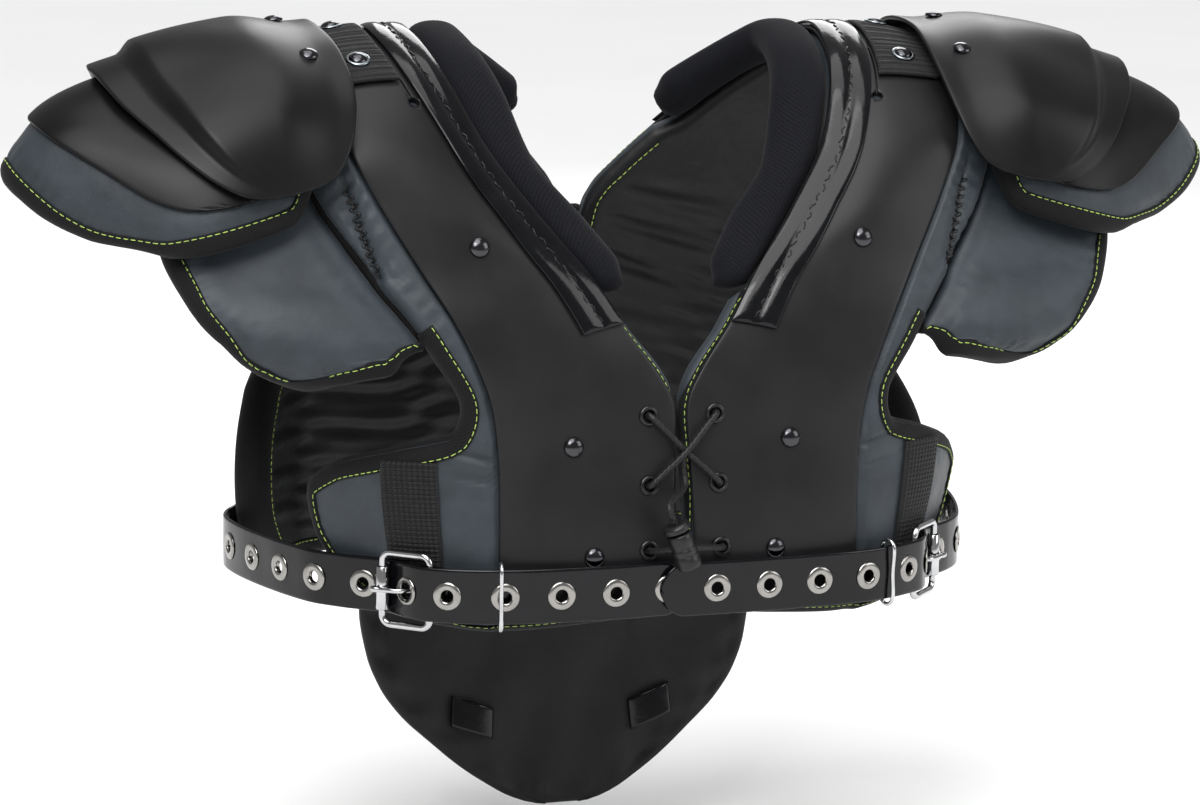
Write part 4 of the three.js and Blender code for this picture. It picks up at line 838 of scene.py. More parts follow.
PLATE = plate_material("plate", (0.008, 0.008, 0.0087), 0.36, 0.22)
CUP = plate_material("cup", (0.004, 0.004, 0.0045), 0.34, 0.15)
CAP = plate_material("cap", (0.0045, 0.0045, 0.005), 0.34, 0.17)
NYLON = nylon_material("nylon", (0.021, 0.027, 0.033), 0.5)
LINING = nylon_material("lining", (0.004, 0.0042, 0.005), 0.48, 0.03)
FLAP = nylon_material("flap_nylon", (0.0045, 0.0045, 0.005), 0.5, 0.03)
TAPE = twill_material("tape", (0.0045, 0.0045, 0.005), 0.75)
KNIT = knit_material()
VINYL = vinyl_material()
WEBBING = webbing_material()
CHROME = metal_material("chrome", (0.5, 0.5, 0.51), 0.09)
NICKEL = metal_material("nickel", (0.3, 0.29, 0.275), 0.17)
DARK_METAL = metal_material("dark_metal", (0.06, 0.06, 0.065), 0.12)
WASHER = metal_material("washer", (0.26, 0.29, 0.31), 0.2)
EYELET = gloss_material("eyelet", (0.007, 0.007, 0.0077), 0.2)
LOCK = gloss_material("lock", (0.006, 0.006, 0.0066), 0.33)
CORD = cord_material()
LIME = thread_material("lime_thread", (0.3, 0.42, 0.09))
BLACK_THREAD = thread_material("black_thread", (0.006, 0.006, 0.0065), 0.35)


# The body plate, with its eyelets' holes and the slit from its hole up under the webbing.
PLATE_ROWS, PLATE_COLUMNS = (0.15, 21.7), (1.0, 3.0)
EYELET_HOLE, SLIT_HOLE, SLIT_ROWS, SLIT_HALF = 3.3, 2.6, 1.1, 0.3


def add_plate():
    edges = lambda r: [np.full_like(r, column) for column in PLATE_COLUMNS]
    rows, columns = patch(body, *PLATE_ROWS, edges, (190, 34), PLATE_RIM)
    holes = [(place, EYELET_HOLE) for place in EYELETS.values()] + [(PLATE_HOLE, SLIT_HOLE)]
    cutters = [stood_on(body, place, drill(radius, 6), -PLATE_WALL / 2) for place, radius in holes]
    slit = np.linspace(PLATE_HOLE[0], PLATE_HOLE[0] + SLIT_ROWS, 12)
    line, normals = body.at(slit, PLATE_HOLE[1]), body.normal(slit, PLATE_HOLE[1])
    side = unit(np.cross(unit(np.gradient(line, axis=0)), normals)) * SLIT_HALF
    deep, high = normals * 1.4, normals * 2
    rings = np.stack([line - side - deep, line + side - deep, line + side + high, line - side + high], 1)
    objects = both_sides("plate", shell_on(body, rows, columns, slab(PLATE_WALL)), [PLATE], "plate", "arch")
    for obj, (side, sign) in zip(objects, SIDES):
        for group in (cutters, [ring_mesh(rings)]):
            without(obj, [mirrored(part, sign) for part in group])


# Pads: a rounded slab of foam under nylon, with a bound edge.
PAD_ROUND = 6.0
BINDING, TAPE_WALL = 8.0, 0.85
PUCKER_PITCH = 7.1
# The tape's outline: shares of the way round the rounded rim, then over the flat face beside it.
TAPE_STOPS = [(0, 0), (0.2, 0), (0.4, 0), (0.6, 0), (0.8, 0), (1.0, 0), (1.0, 0.85), (1.0, 1.0)]
# The lime stitch: its distance from the tape's inner edge, dash, pause and thread radius.
STITCH_IN, STITCH = 1.1, (2.5, 1.0, 0.24)


def level(height):
    """An even height at any rows and columns."""
    return lambda row, column: np.full(np.broadcast(row, column).shape, height)


def pad_heights(top, bottom, pucker=0.5, folds=None):
    """Heights of a pad whose flat faces lie at top(row, column) and bottom(row, column)."""
    def heights(edge, foot, rows, columns):
        high, low = top(rows, columns), bottom(rows, columns)
        middle, half = (high + low) / 2, (high - low) / 2
        swell = half * round_rim(edge, PAD_ROUND)
        phase = foot * 2 * np.pi / PUCKER_PITCH + 1.9 * np.sin(foot / 13.0) + 0.9 * np.sin(foot / 5.3)
        ridge = 1 - np.abs(np.sin(phase / 2)) * 1.4
        strength = 0.35 + 0.65 * (0.5 + 0.5 * np.sin(foot / 19.0 + 2.0 * np.sin(foot / 41.0)))
        gather = smoothstep(edge, 6.0, 8.5) * (1 - smoothstep(edge, 9.5, 20.0))
        roll = np.exp(-((edge - 13.0) / 5.0) ** 2)
        upper = middle + swell + pucker * (0.8 * roll - 0.5 * gather + 0.9 * gather * strength * ridge)
        lower = middle - swell
        if folds is not None:
            lower = lower + folds(rows, columns) * smoothstep(edge, 8, 20)
        return upper, lower
    return heights


def bound_edge(surface, rows, columns, top, bottom, closed=False, width=BINDING, both=False,
               clear_share=0.7):
    """The tape round a pad's edge, and its stitches, along a run of places on the rim.

    The stitches stop where the rim turns so tightly that their seam comes near it again.
    """
    grid = surface.at(rows, columns)
    width = np.broadcast_to(np.asarray(width, float), (len(rows),))
    path = tidy_path(np.column_stack([grid, rows, columns, width]), 2.5, closed)
    row, column, width = path[:, 3], path[:, 4], path[:, 5]
    point = surface.at(row, column)
    if closed:
        tangent = unit(np.roll(point, -2, 0) - np.roll(point, 2, 0))
    else:
        tangent = np.pad(unit(np.gradient(point, axis=0)), ((3, 3), (0, 0)), "edge")
        weights = enumerate((1, 2, 3, 4, 3, 2, 1))
        tangent = unit(sum(tangent[k:k + len(point)] * weight for k, weight in weights))
    inward = np.cross(surface.normal(row, column), tangent)
    most = np.arccos(np.clip(1 - width / PAD_ROUND, -1, 1))
    extra = np.maximum(width - PAD_ROUND, 0)

    def station(share, flat, offset, side):
        a = np.minimum(most, np.pi / 2) * share
        e = PAD_ROUND * (1 - np.cos(a)) + extra * flat
        shrink = 0.45 if flat == 1.0 else 1.0
        rr, cc = surface.near(point + inward * e[:, None])
        high, low = top(rr, cc), bottom(rr, cc)
        middle, half = (high + low) / 2, np.maximum((high - low) / 2, 1)
        n_e, n_l = -np.cos(a) / PAD_ROUND, np.sin(a) / half
        size = np.sqrt(n_e ** 2 + n_l ** 2)
        away = -inward * (offset * np.abs(n_e) / size)[:, None]
        return surface.at(rr, cc, middle + side * (half * np.sin(a) + shrink * offset * n_l / size)) + away
    stops = [(*stop, 1) for stop in TAPE_STOPS[::-1]] + [(*stop, -1) for stop in TAPE_STOPS[1:]]
    outer = [station(share, flat, TAPE_WALL, side) for share, flat, side in stops]
    inner = [station(share, flat, -0.5, -side) for share, flat, side in stops]
    rings = np.stack(outer + inner, 1)
    verts, faces = ring_mesh(rings, closed)
    run = run_along(point)
    around = np.cumsum(np.linalg.norm(np.diff(rings, axis=1, prepend=rings[:, :1]), axis=2), axis=1)
    uv = np.stack([around, np.repeat(run[:, None], rings.shape[1], 1)], -1).reshape(-1, 2)
    if not closed:
        uv = np.vstack([uv, uv[:1], uv[-1:]])
    seam_in = width - STITCH_IN
    seam_row, seam_column = surface.near(point + inward * seam_in[:, None])
    rise = round_rim(seam_in, PAD_ROUND)
    high, low = top(seam_row, seam_column), bottom(seam_row, seam_column)
    clear = np.array([np.linalg.norm(point - p, axis=1).min() for p in surface.at(seam_row, seam_column)])
    keep = (clear > seam_in * clear_share).astype(float)
    threads = []
    for side in (1, -1) if both else (1,):
        lift = (high + low) / 2 + side * ((high - low) / 2 * rise + TAPE_WALL + 0.05)
        seam = surface.at(seam_row, seam_column, lift)
        normals = surface.normal(seam_row, seam_column) * side
        if closed:
            seam, normals = np.vstack([seam, seam[:1]]), np.vstack([normals, normals[:1]])
            keep = np.r_[keep, keep[0]][:len(seam)]
        threads.append(dashes(seam, normals, *STITCH, keep=keep))
    return (verts, faces, uv), join(threads)


def add_bound(name, surface, rows, columns, top, bottom, **how):
    tape, thread = bound_edge(surface, rows, columns, top, bottom, **how)
    both_sides(f"{name}_binding", tape, [TAPE], "lining")
    both_sides(f"{name}_stitch", thread, [LIME], "cord")


UNDER_PLATE = -PLATE_WALL - GAP

# The gathered seam on the front pad, from under the epaulet down to the deltoid lobe, and the
# millimetres from one column to the next along it.
SEAM_ROWS = [9.0, 8.0, 7.6, 7.25, 6.85]
SEAM_COLUMNS = [3.3, 3.42, 3.58, 3.74, 3.9]
SEAM_PITCH = 27.0
SEAM_DEPTH, SEAM_ROW_LENGTH, PLEAT_PITCH = 4.2, 28.0, 7.5
# Creases from the plate's edge toward the lobe: row at the plate, slope and depth.
CREASES = ((2.95, 0.5, 2.0), (2.55, 0.35, 1.5), (2.2, 0.15, 1.0))
body_bottom = level(UNDER_PLATE - 12.0)


def seam_column(row):
    return np.interp(row, SEAM_ROWS[::-1], SEAM_COLUMNS[::-1])


def body_top(row, column):
    out = smoothstep(column, 3.0, 3.1)
    ends = [SEAM_ROWS[-1], SEAM_ROWS[-1] + 0.1, 8.4, SEAM_ROWS[0]]
    depth = np.interp(row, ends, [0, SEAM_DEPTH, SEAM_DEPTH, 0])
    away = (column - seam_column(row)) * SEAM_PITCH
    pleats = 1 + 0.55 * np.sin(row * SEAM_ROW_LENGTH * 2 * np.pi / PLEAT_PITCH + 0.5 * away)
    groove = depth * np.exp(-np.abs(away) / (3.4 * pleats))
    creases = sum(deep * np.exp(-((row - place - slope * (column - 3)) / 0.07) ** 2)
                  for place, slope, deep in CREASES) * (1 - smoothstep(column, 3.15, 3.75))
    return UNDER_PLATE - 0.05 + (1.0 - UNDER_PLATE - groove - creases) * out


def lining_folds(row, column):
    """Loose folds of the lining across the inside of the back, and the hem where they start."""
    fold = np.sin(row * 9 + 1.5 * np.sin(column * 4)) + 0.7 * np.sin(row * 17 + column * 6)
    hem = 1.4 * smoothstep(row, 17.55, 17.62) * (1 - smoothstep(column, 2.2, 2.6))
    return fold * smoothstep(row, 15.4, 16.5) + hem


def add_body_pad():
    edges = lambda r: (pad_start(r), pad_reach(r))
    rows, columns = patch(body, 0.0, 22.0, edges, (300, 64), PAD_RIM, 0.7)
    heights = pad_heights(body_top, body_bottom, 0.6, lining_folds)
    both_sides("body_pad_skin", shell_on(body, rows, columns, heights), [NYLON, LINING], "padding",
               "body_pad")
    # The seam's thread crosses from side to side.
    run = np.linspace(8.35, 6.95, 200)
    column = seam_column(run)
    length = run_along(body.at(run, column, body_top(run, column)))
    stops = np.arange(0.5, length[-1], 2.1)
    turn = np.where(np.arange(len(stops)) % 2, 1.0, -1.0)
    finer = np.linspace(0, len(stops) - 1, len(stops) * 6)
    row = np.interp(np.interp(finer, np.arange(len(stops)), stops), length, run)
    swing = np.interp(finer, np.arange(len(stops)), turn)
    column = seam_column(row) + swing * 2.3 / SEAM_PITCH
    lift = body_top(row, column) + 0.5 * np.sqrt(1 - swing ** 2) + 0.35
    both_sides("body_pad_seam", tube(body.at(row, column, lift), 0.5, 6), [BLACK_THREAD], "cord")
    # The bound edge runs from each end of the neck roll round the pad to the deltoid lobe.
    hem = lambda r: np.linspace(pad_start(r), pad_reach(r), 24)
    front, side = np.linspace(6.85, 0, 60), np.linspace(0, 5.75, 90)
    rows = np.r_[front, np.zeros(22), side]
    columns = np.r_[pad_start(front), hem(0.0)[1:-1], pad_reach(side)]
    width = np.r_[np.where(front > 4.3, 4.6, 3.2), np.full(22, 3.5), np.full(90, BINDING)]
    width = np.convolve(np.pad(width, 3, "edge"), np.ones(7) / 7, "valid")
    add_bound("body_pad_front", body, rows, columns, body_top, body_bottom, width=width)
    side, back = np.linspace(17.0, 22, 80), np.linspace(22, 15.35, 60)
    rows = np.r_[side, np.full(22, 22.0), back]
    columns = np.r_[pad_reach(side), hem(22.0)[-2:0:-1], pad_start(back)]
    width = np.r_[np.full(102, BINDING), np.full(60, 4.6)]
    add_bound("body_pad_back", body, rows, columns, body_top, body_bottom, width=width, both=True)


def outside_pad(row, lift, inner_lift):
    """A place on the body pad's edge, and the direction away from the pad there."""
    reach = pad_reach(row)
    rim = body.at(row, reach, lift)
    return rim, unit(rim - body.at(row, reach - 0.2, inner_lift))


def deltoid_surface():
    joined = []
    for join_row in DELTOID_JOINS:
        rim, away = outside_pad(join_row, UNDER_PLATE - 1.5, -PLATE_WALL)
        joined.append(rim + away * 2 * GAP)
    corner = epaulet_point(DELTOID_CORNER)
    inner = [corner + (joined[0] - corner) * share for share in DELTOID_FREE] + joined
    t = np.linspace(0, 1, 561)
    a, b = catmull(np.array(inner), t), catmull(epaulet_point(DELTOID_OUTER), t)
    share = np.linspace(0, 1, 81)[None, :, None]
    grid = a[:, None] * (1 - share) + b[:, None] * share
    row = t * DELTOID_LAST
    row_normals = unit(np.cross(b - a, np.gradient((a + b) / 2, axis=0)))
    # The lobe's crown is high at the front and back, low over the arm and flat at both ends.
    lobe = np.maximum(1 - smoothstep(row, 3.2, 6), smoothstep(row, DELTOID_LAST - 4, DELTOID_LAST - 2))
    lobe = (0.25 + 0.75 * lobe) * smoothstep(row, -0.6, 2.0)
    lobe = lobe * (1 - 0.5 * smoothstep(row, DELTOID_LAST - 1, DELTOID_LAST))
    crown = 9 * lobe[:, None] * 4 * share[0, :, 0] * (1 - share[0, :, 0])
    surface = Surface(grid + row_normals[:, None] * crown[..., None], (0, DELTOID_LAST), (0, 1))
    even = (1 - smoothstep(row, 0.4, 1.6))[:, None, None]
    surface.normals = unit(surface.normals * (1 - even) + row_normals[:, None] * even)
    return surface


def add_deltoid():
    deltoid = deltoid_surface()
    edges = lambda r: (np.zeros_like(r), np.ones_like(r))
    rows, columns = patch(deltoid, 0.0, float(DELTOID_LAST), edges, (150, 34), PAD_RIM)
    top, bottom = level(0.6), level(-11.0)
    both_sides("deltoid_pad_skin", shell_on(deltoid, rows, columns, pad_heights(top, bottom, 0.9)),
               [NYLON, LINING], "padding", "deltoid_pad")
    # A near-black tube of tape closes the seam between the deltoid lobe and the body pad; its dark colour is
    # painted shade, standing in for the shadowed channel of nylon there.
    seam, away = outside_pad(np.linspace(5.65, 17.0, 260), -8.5, -8.5)
    both_sides("deltoid_seam_shade_fill", tube(seam + away, 3.4, 10), [TAPE], "lining")
    down, up = np.linspace(2.9, 0, 24), np.linspace(0, DELTOID_LAST, 220)
    along = np.linspace(0, 1, 12)[1:-1]
    rows = np.r_[down, np.zeros(10), up, np.full(10, float(DELTOID_LAST))]
    columns = np.r_[np.zeros(24), along, np.ones(220), along[::-1]]
    width = np.r_[np.linspace(5, BINDING, 24), np.full(len(rows) - 24, BINDING)]
    add_bound("deltoid", deltoid, rows, columns, top, bottom, width=width, clear_share=0.62)


def half_outline(table):
    """Edges of an epaulet layer at any row, rounded at its front and back ends."""
    first = table[0][0]
    reach = np.sqrt(np.array([k[0] for k in table]) - first)
    low, high = monotone(reach, [k[1] for k in table]), monotone(reach, [k[2] for k in table])

    def edges(row):
        front = np.sqrt(np.maximum(CREST - np.abs(row - CREST) - first, 0))
        return low(front), high(front)
    return edges, first, 2 * CREST - first


def epaulet_patch(table, counts, rim):
    edges, first, last = half_outline(table)
    return patch(epaulet, first, last, edges, counts, rim)


def cap_heights(edge, foot, rows, columns):
    upper, lower = slab(CAP_WALL)(edge, foot, rows, columns)
    dome = cap_dome(rows, columns)
    return upper + CAP_LIFT + dome, lower + CAP_LIFT + dome


def add_epaulets():
    rows, columns = epaulet_patch(PAD_EDGE, (120, 36), PAD_RIM)
    under = -CUP_WALL - 2 * GAP
    top, bottom = level(under), level(under - 11.0)
    both_sides("epaulet_pad_skin", shell_on(epaulet, rows, columns, pad_heights(top, bottom, 0.7)),
               [NYLON, LINING], "padding", "epaulet_pad")
    rim = rim_of(np.stack([rows, columns], -1))
    add_bound("epaulet", epaulet, rim[:, 0], rim[:, 1], top, bottom, closed=True)
    cup = shell_on(epaulet, *epaulet_patch(CUP_EDGE, (100, 34), PLATE_RIM), slab(CUP_WALL))
    both_sides("epaulet_cup_skin", cup, [CUP], "plate", "epaulet_cup")
    cap = shell_on(epaulet, *epaulet_patch(CAP_EDGE, (130, 52), PLATE_RIM), cap_heights)
    both_sides("epaulet_cap_skin", cap, [CAP], "plate", "epaulet_cap")


cap_edges = half_outline(CAP_EDGE)[0]


def cap_dome(row, column):
    """How far the cap's raised dome stands above its flat border."""
    low, high = cap_edges(row)
    outer = smoothstep(high - column, 0.24, 0.42)
    inner = smoothstep(column - low, 0.2, 1.0)
    ends = 1 - smoothstep(np.abs(row - CREST), 1.9, 3.1)
    return CAP_DOME * outer * inner * ends


# The padded roll and the vinyl strip at the neck.
ROLL_HALF, ROLL_THICK, TRIM_WIDTH = 13.5, 9.0, 19.5


def add_neck_roll():
    count, sides = 120, 40
    rows = np.linspace(6.98, 15.0, count)
    edge = body.at(rows, 1.0, -PLATE_WALL)
    away, normal = unit(edge - body.at(rows, 1.3, -PLATE_WALL)), body.normal(rows, 1.0)
    run = run_along(edge)
    end = np.minimum(run, run[-1] - run)
    half = ROLL_HALF * (0.72 + 0.28 * smoothstep(end, 4, 22)) * np.clip(round_rim(end, 7.0), 0.45, 1)
    thick = ROLL_THICK * (0.75 + 0.25 * smoothstep(end, 0, 16)) * np.clip(round_rim(end, 7.0), 0.35, 1)
    centre = edge + away * (half + 4 * GAP)[:, None] - normal * 3.5
    angle = angles(sides)
    c, s = [np.sign(wave) * np.abs(wave) ** 0.9 for wave in (np.cos(angle), np.sin(angle))]
    ripple = 0.25 * np.sin(run / 9.0)[:, None] * np.ones(sides)
    rings = (centre[:, None] - away[:, None] * (half[:, None] * c)[..., None]
             + normal[:, None] * ((thick[:, None] + ripple) * s)[..., None])
    verts, faces = ring_mesh(rings[:, ::-1])
    uv = np.stack([np.repeat((angle * 12)[None], count, 0), np.repeat(run[:, None], sides, 1)], -1)
    uv = np.vstack([uv.reshape(-1, 2), uv[0, :1], uv[-1, -1:]])
    both_sides("neck_roll_skin", (verts, faces, uv), [KNIT], "knit", "neck_roll")


def trim_edges(row):
    """Columns of the strip's edges, an even width apart however the rows lean."""
    across = unit(body.at(row, 1.5) - body.at(row, 1.0))
    along = unit(body.at(row + 0.1, 1.0) - body.at(row - 0.1, 1.0))
    lean = np.sqrt(1 - (across * along).sum(-1) ** 2)
    return np.ones_like(row), 1 + TRIM_WIDTH / lean / column_length(row)


def trim_heights(edge, foot, rows, columns):
    """Two soft ridges with a seam between them."""
    across = (columns - columns[:, :1]) / (columns[:, -1:] - columns[:, :1])
    puff = 0.9 * np.sqrt(np.clip(4 * across * (1 - across), 0, 1))
    puff = puff - 0.75 * np.exp(-((across - 0.5) * 9) ** 2)
    swell = 0.65 * round_rim(edge, 0.65)
    return 1.35 + swell + puff * smoothstep(edge, 0, 2.5), 1.35 - swell


def add_neck_trim():
    rows, columns = patch(body, 6.05, 15.3, trim_edges, (170, 14), (0, 0.12, 0.4, 0.9, 1.6))
    share = (columns - columns[:, :1]) / (columns[:, -1:] - columns[:, :1])
    rows = rows - 0.38 * share * (1 - smoothstep(rows, 6.05, 6.6))
    both_sides("neck_trim_skin", shell_on(body, rows, columns, trim_heights), [VINYL], "vinyl", "neck_trim")
    rows = np.linspace(5.95, 15.25, 400)
    columns = sum(trim_edges(rows)) / 2
    line, normals = body.at(rows, columns, 2.15), body.normal(rows, columns)
    side = np.cross(normals, unit(np.gradient(line, axis=0)))
    run = run_along(line)
    wander = 0.9 * np.sin(run * 2 * np.pi / 7.4) + 0.4 * np.sin(run / 3.1)
    thread = dashes(line + side * wander[:, None], normals, 5.2, 0.9, 0.42)
    both_sides("neck_trim_stitch", thread, [BLACK_THREAD], "cord")


# Webbing.
HALF_BELT, WEBBING_WALL = 12.5, 1.6
BRIDGE_ROWS = np.linspace(17.2, 18, 9)


def shoulder_webbing(along, across, lift):
    """A place on the webbing, which leaves the body plate and passes over to the epaulet's."""
    body_row = 12 - 0.87 + (along - 0.5) * 2.25
    epaulet_row = CREST - 0.15 + (along - 0.5) * 2
    on_plate = body.at(body_row, 1.82 + 0.96 * np.minimum(across / 0.55, 1), 2.4 * GAP + lift)
    on_cup = epaulet.at(epaulet_row, 0.22 + 0.4 * np.maximum((across - 0.75) / 0.25, 0), 1.5 * GAP + lift)
    mix = smoothstep(across, 0.5, 0.8)[..., None]
    return on_plate * (1 - mix) + on_cup * mix


def sheet_from(place, along, across, wall, relief=None):
    """A thin closed sheet through place(along, across, lift), raised by relief(along, edge)."""
    a, b = np.meshgrid(along, across, indexing="ij")
    base = place(a, b, np.zeros_like(a))
    edge = rim_distance(base)[0]
    half = wall / 2 * round_rim(edge, wall / 2)
    extra = relief(a, edge) if relief is not None else 0
    return closed_shell(place(a, b, wall / 2 + half + extra), place(a, b, wall / 2 - half), base)


def rimmed(count, edge=0.012):
    """Shares from 0 to 1, closer together at both ends."""
    return np.r_[0, edge * 0.3, edge, np.linspace(edge * 2, 1 - edge * 2, count),
                 1 - edge, 1 - edge * 0.3, 1]


def ribs(height, length, pitch):
    """Ribs across a webbing, by its length and their pitch in millimetres."""
    return lambda a, edge: (height * (0.5 + 0.5 * np.cos(a * length * 2 * np.pi / pitch))
                            * smoothstep(edge, 0.4, 1.5))


def side_webbing(a, b, lift):
    half = HALF_BELT / np.linalg.norm(body.at(1.6, 3.0) - body.at(1.6, 4.0))
    return body.at(0.12 + a * 2.83, 3.86 + (b * 2 - 1) * half, 1.5 + lift)


def bridge(a, b, lift):
    """A place on the webbing that crosses from one back plate to the other."""
    x = (b * 2 - 1) * 44
    out = np.empty((*x.shape, 3))
    for i, line in enumerate(body.at(row, np.linspace(1, 2, 200), 1.5) for row in BRIDGE_ROWS):
        out[i] = sampled(np.maximum(np.abs(x[i]), line[0, 0]), line[:, 0], line)
        out[i, :, 0] = x[i]
        out[i, :, 1] += lift[i]
    return out


def add_webbing():
    strap = sheet_from(shoulder_webbing, rimmed(150), rimmed(24), WEBBING_WALL, ribs(0.45, 64, 3.6))
    strap = (*strap[:2], strap[2][:, ::-1])
    both_sides("epaulet_strap_skin", strap, [WEBBING], "webbing", "epaulet_strap")
    strap = sheet_from(side_webbing, rimmed(200), rimmed(22), 1.5, ribs(0.55, 72, 2.2))
    both_sides("side_strap_skin", strap, [WEBBING], "webbing", "side_strap")
    part = sheet_from(bridge, np.linspace(0, 1, len(BRIDGE_ROWS)), rimmed(60), WEBBING_WALL)
    part[0][:, 1] -= 0.2
    dress(finish_mesh("back_bridge_skin", part, [WEBBING]), "webbing", "back_bridge")


# Belts, buckles and their hardware.
BELT_LIFT, BELT_WALL, BELT_Z, PITCH = 5.0, 1.8, -217.0, 25.4
BUCKLE_LENGTH, BUCKLE_HEIGHT, BUCKLE_CORNER, WIRE, ROLLER = 24.0, 33.0, 4.0, 1.6, 3.0
PRONG_WIRE, KEEPER_WIRE, TAB_LENGTH, TAB_WALL = 1.15, 0.95, 38, 1.2
# Column and lift of the belt's route over the chest and ribs, then over the back.
ROUTE_FRONT = ((2.2, 0.5), (2.8, 2.4), (3.25, 5), (3.6, 5.2), (4, 5.6), (4.5, 3), (4.9, 3))
ROUTE_BACK = ((5, 1), (4.5, 2), (4, 1), (3.5, 1), (3, 0), (2.7, 0))
# For each side: the tip's x, its lift over the other belt's tail, the first grommet's distance from
# the tip, and the pitches from the keeper to the prong's grommet.
BELTS = {"left": (-14, BELT_WALL + 1.3, 26.4, 1.32), "right": (1, 0, 9.0, 1.73)}


class Route:
    """A belt's route in plan, with places by distance from its tip."""

    def __init__(self, tip, tip_lift):
        front = lambda column, lift: body.at(0.55, column, BELT_LIFT + lift)[:2]
        back = lambda column, lift: body.at(21.35, column, BELT_LIFT + lift)[:2]
        y = front(1.0, tip_lift)[1]
        points = [(tip, y), (tip + 14, y), front(1.6, tip_lift * 0.5)]
        points += [front(*stop) for stop in ROUTE_FRONT] + [back(*stop) for stop in ROUTE_BACK]
        self.dense = catmull(np.array([[*p, 0.0] for p in points]), np.linspace(0, 1, 3001))
        self.run = run_along(self.dense)
        self.length = self.run[-1]
        tangent = unit(np.gradient(self.dense, axis=0))
        self.normal = np.stack([tangent[:, 1], -tangent[:, 0], np.zeros(len(tangent))], 1)

    def place(self, distance, up=0.0, out=0.0):
        distance = np.asarray(distance, float)
        normal = unit(sampled(distance, self.run, self.normal))
        point = sampled(distance, self.run, self.dense) + normal * np.asarray(out)[..., None]
        point[..., 2] = BELT_Z + up
        return point


def weave(along):
    """How far the belt swings out over the buckle's bar and in under its roller."""
    half = BUCKLE_LENGTH / 2
    over, below = WIRE + GAP, -ROLLER - GAP - BELT_WALL
    inside = over + (below - over) * smoothstep(along, -half, half)
    fade = 1 - smoothstep(np.abs(along), half, half + 24)
    return np.where(np.abs(along) <= half, inside, fade * np.where(along < 0, over, below))


def grommet_part(bore, outer=6.5):
    high, low = BELT_WALL / 2, -BELT_WALL / 2
    return lathe([
        (bore, low - 0.1), (bore + 0.5, low - 0.45), (outer - 0.9, low - 0.4), (outer, low - 0.05),
        (outer, low + 0.1), (bore + 0.6, low + 0.1), (bore + 0.6, high - 0.1), (outer, high - 0.05),
        (outer, high + 0.2), (outer - 0.7, high + 0.6), (outer - 2, high + 0.75),
        (bore + 0.7, high + 0.7), (bore + 0.15, high + 0.4), (bore, high)], 36)


def belt_stations(length):
    return np.r_[0, 0.15, 0.5, 1.2, 2.2, 3.6, 5.4, 7.5, 10, 12.5, np.linspace(14, length - 2, 210),
                 length - 1, length - 0.3, length]


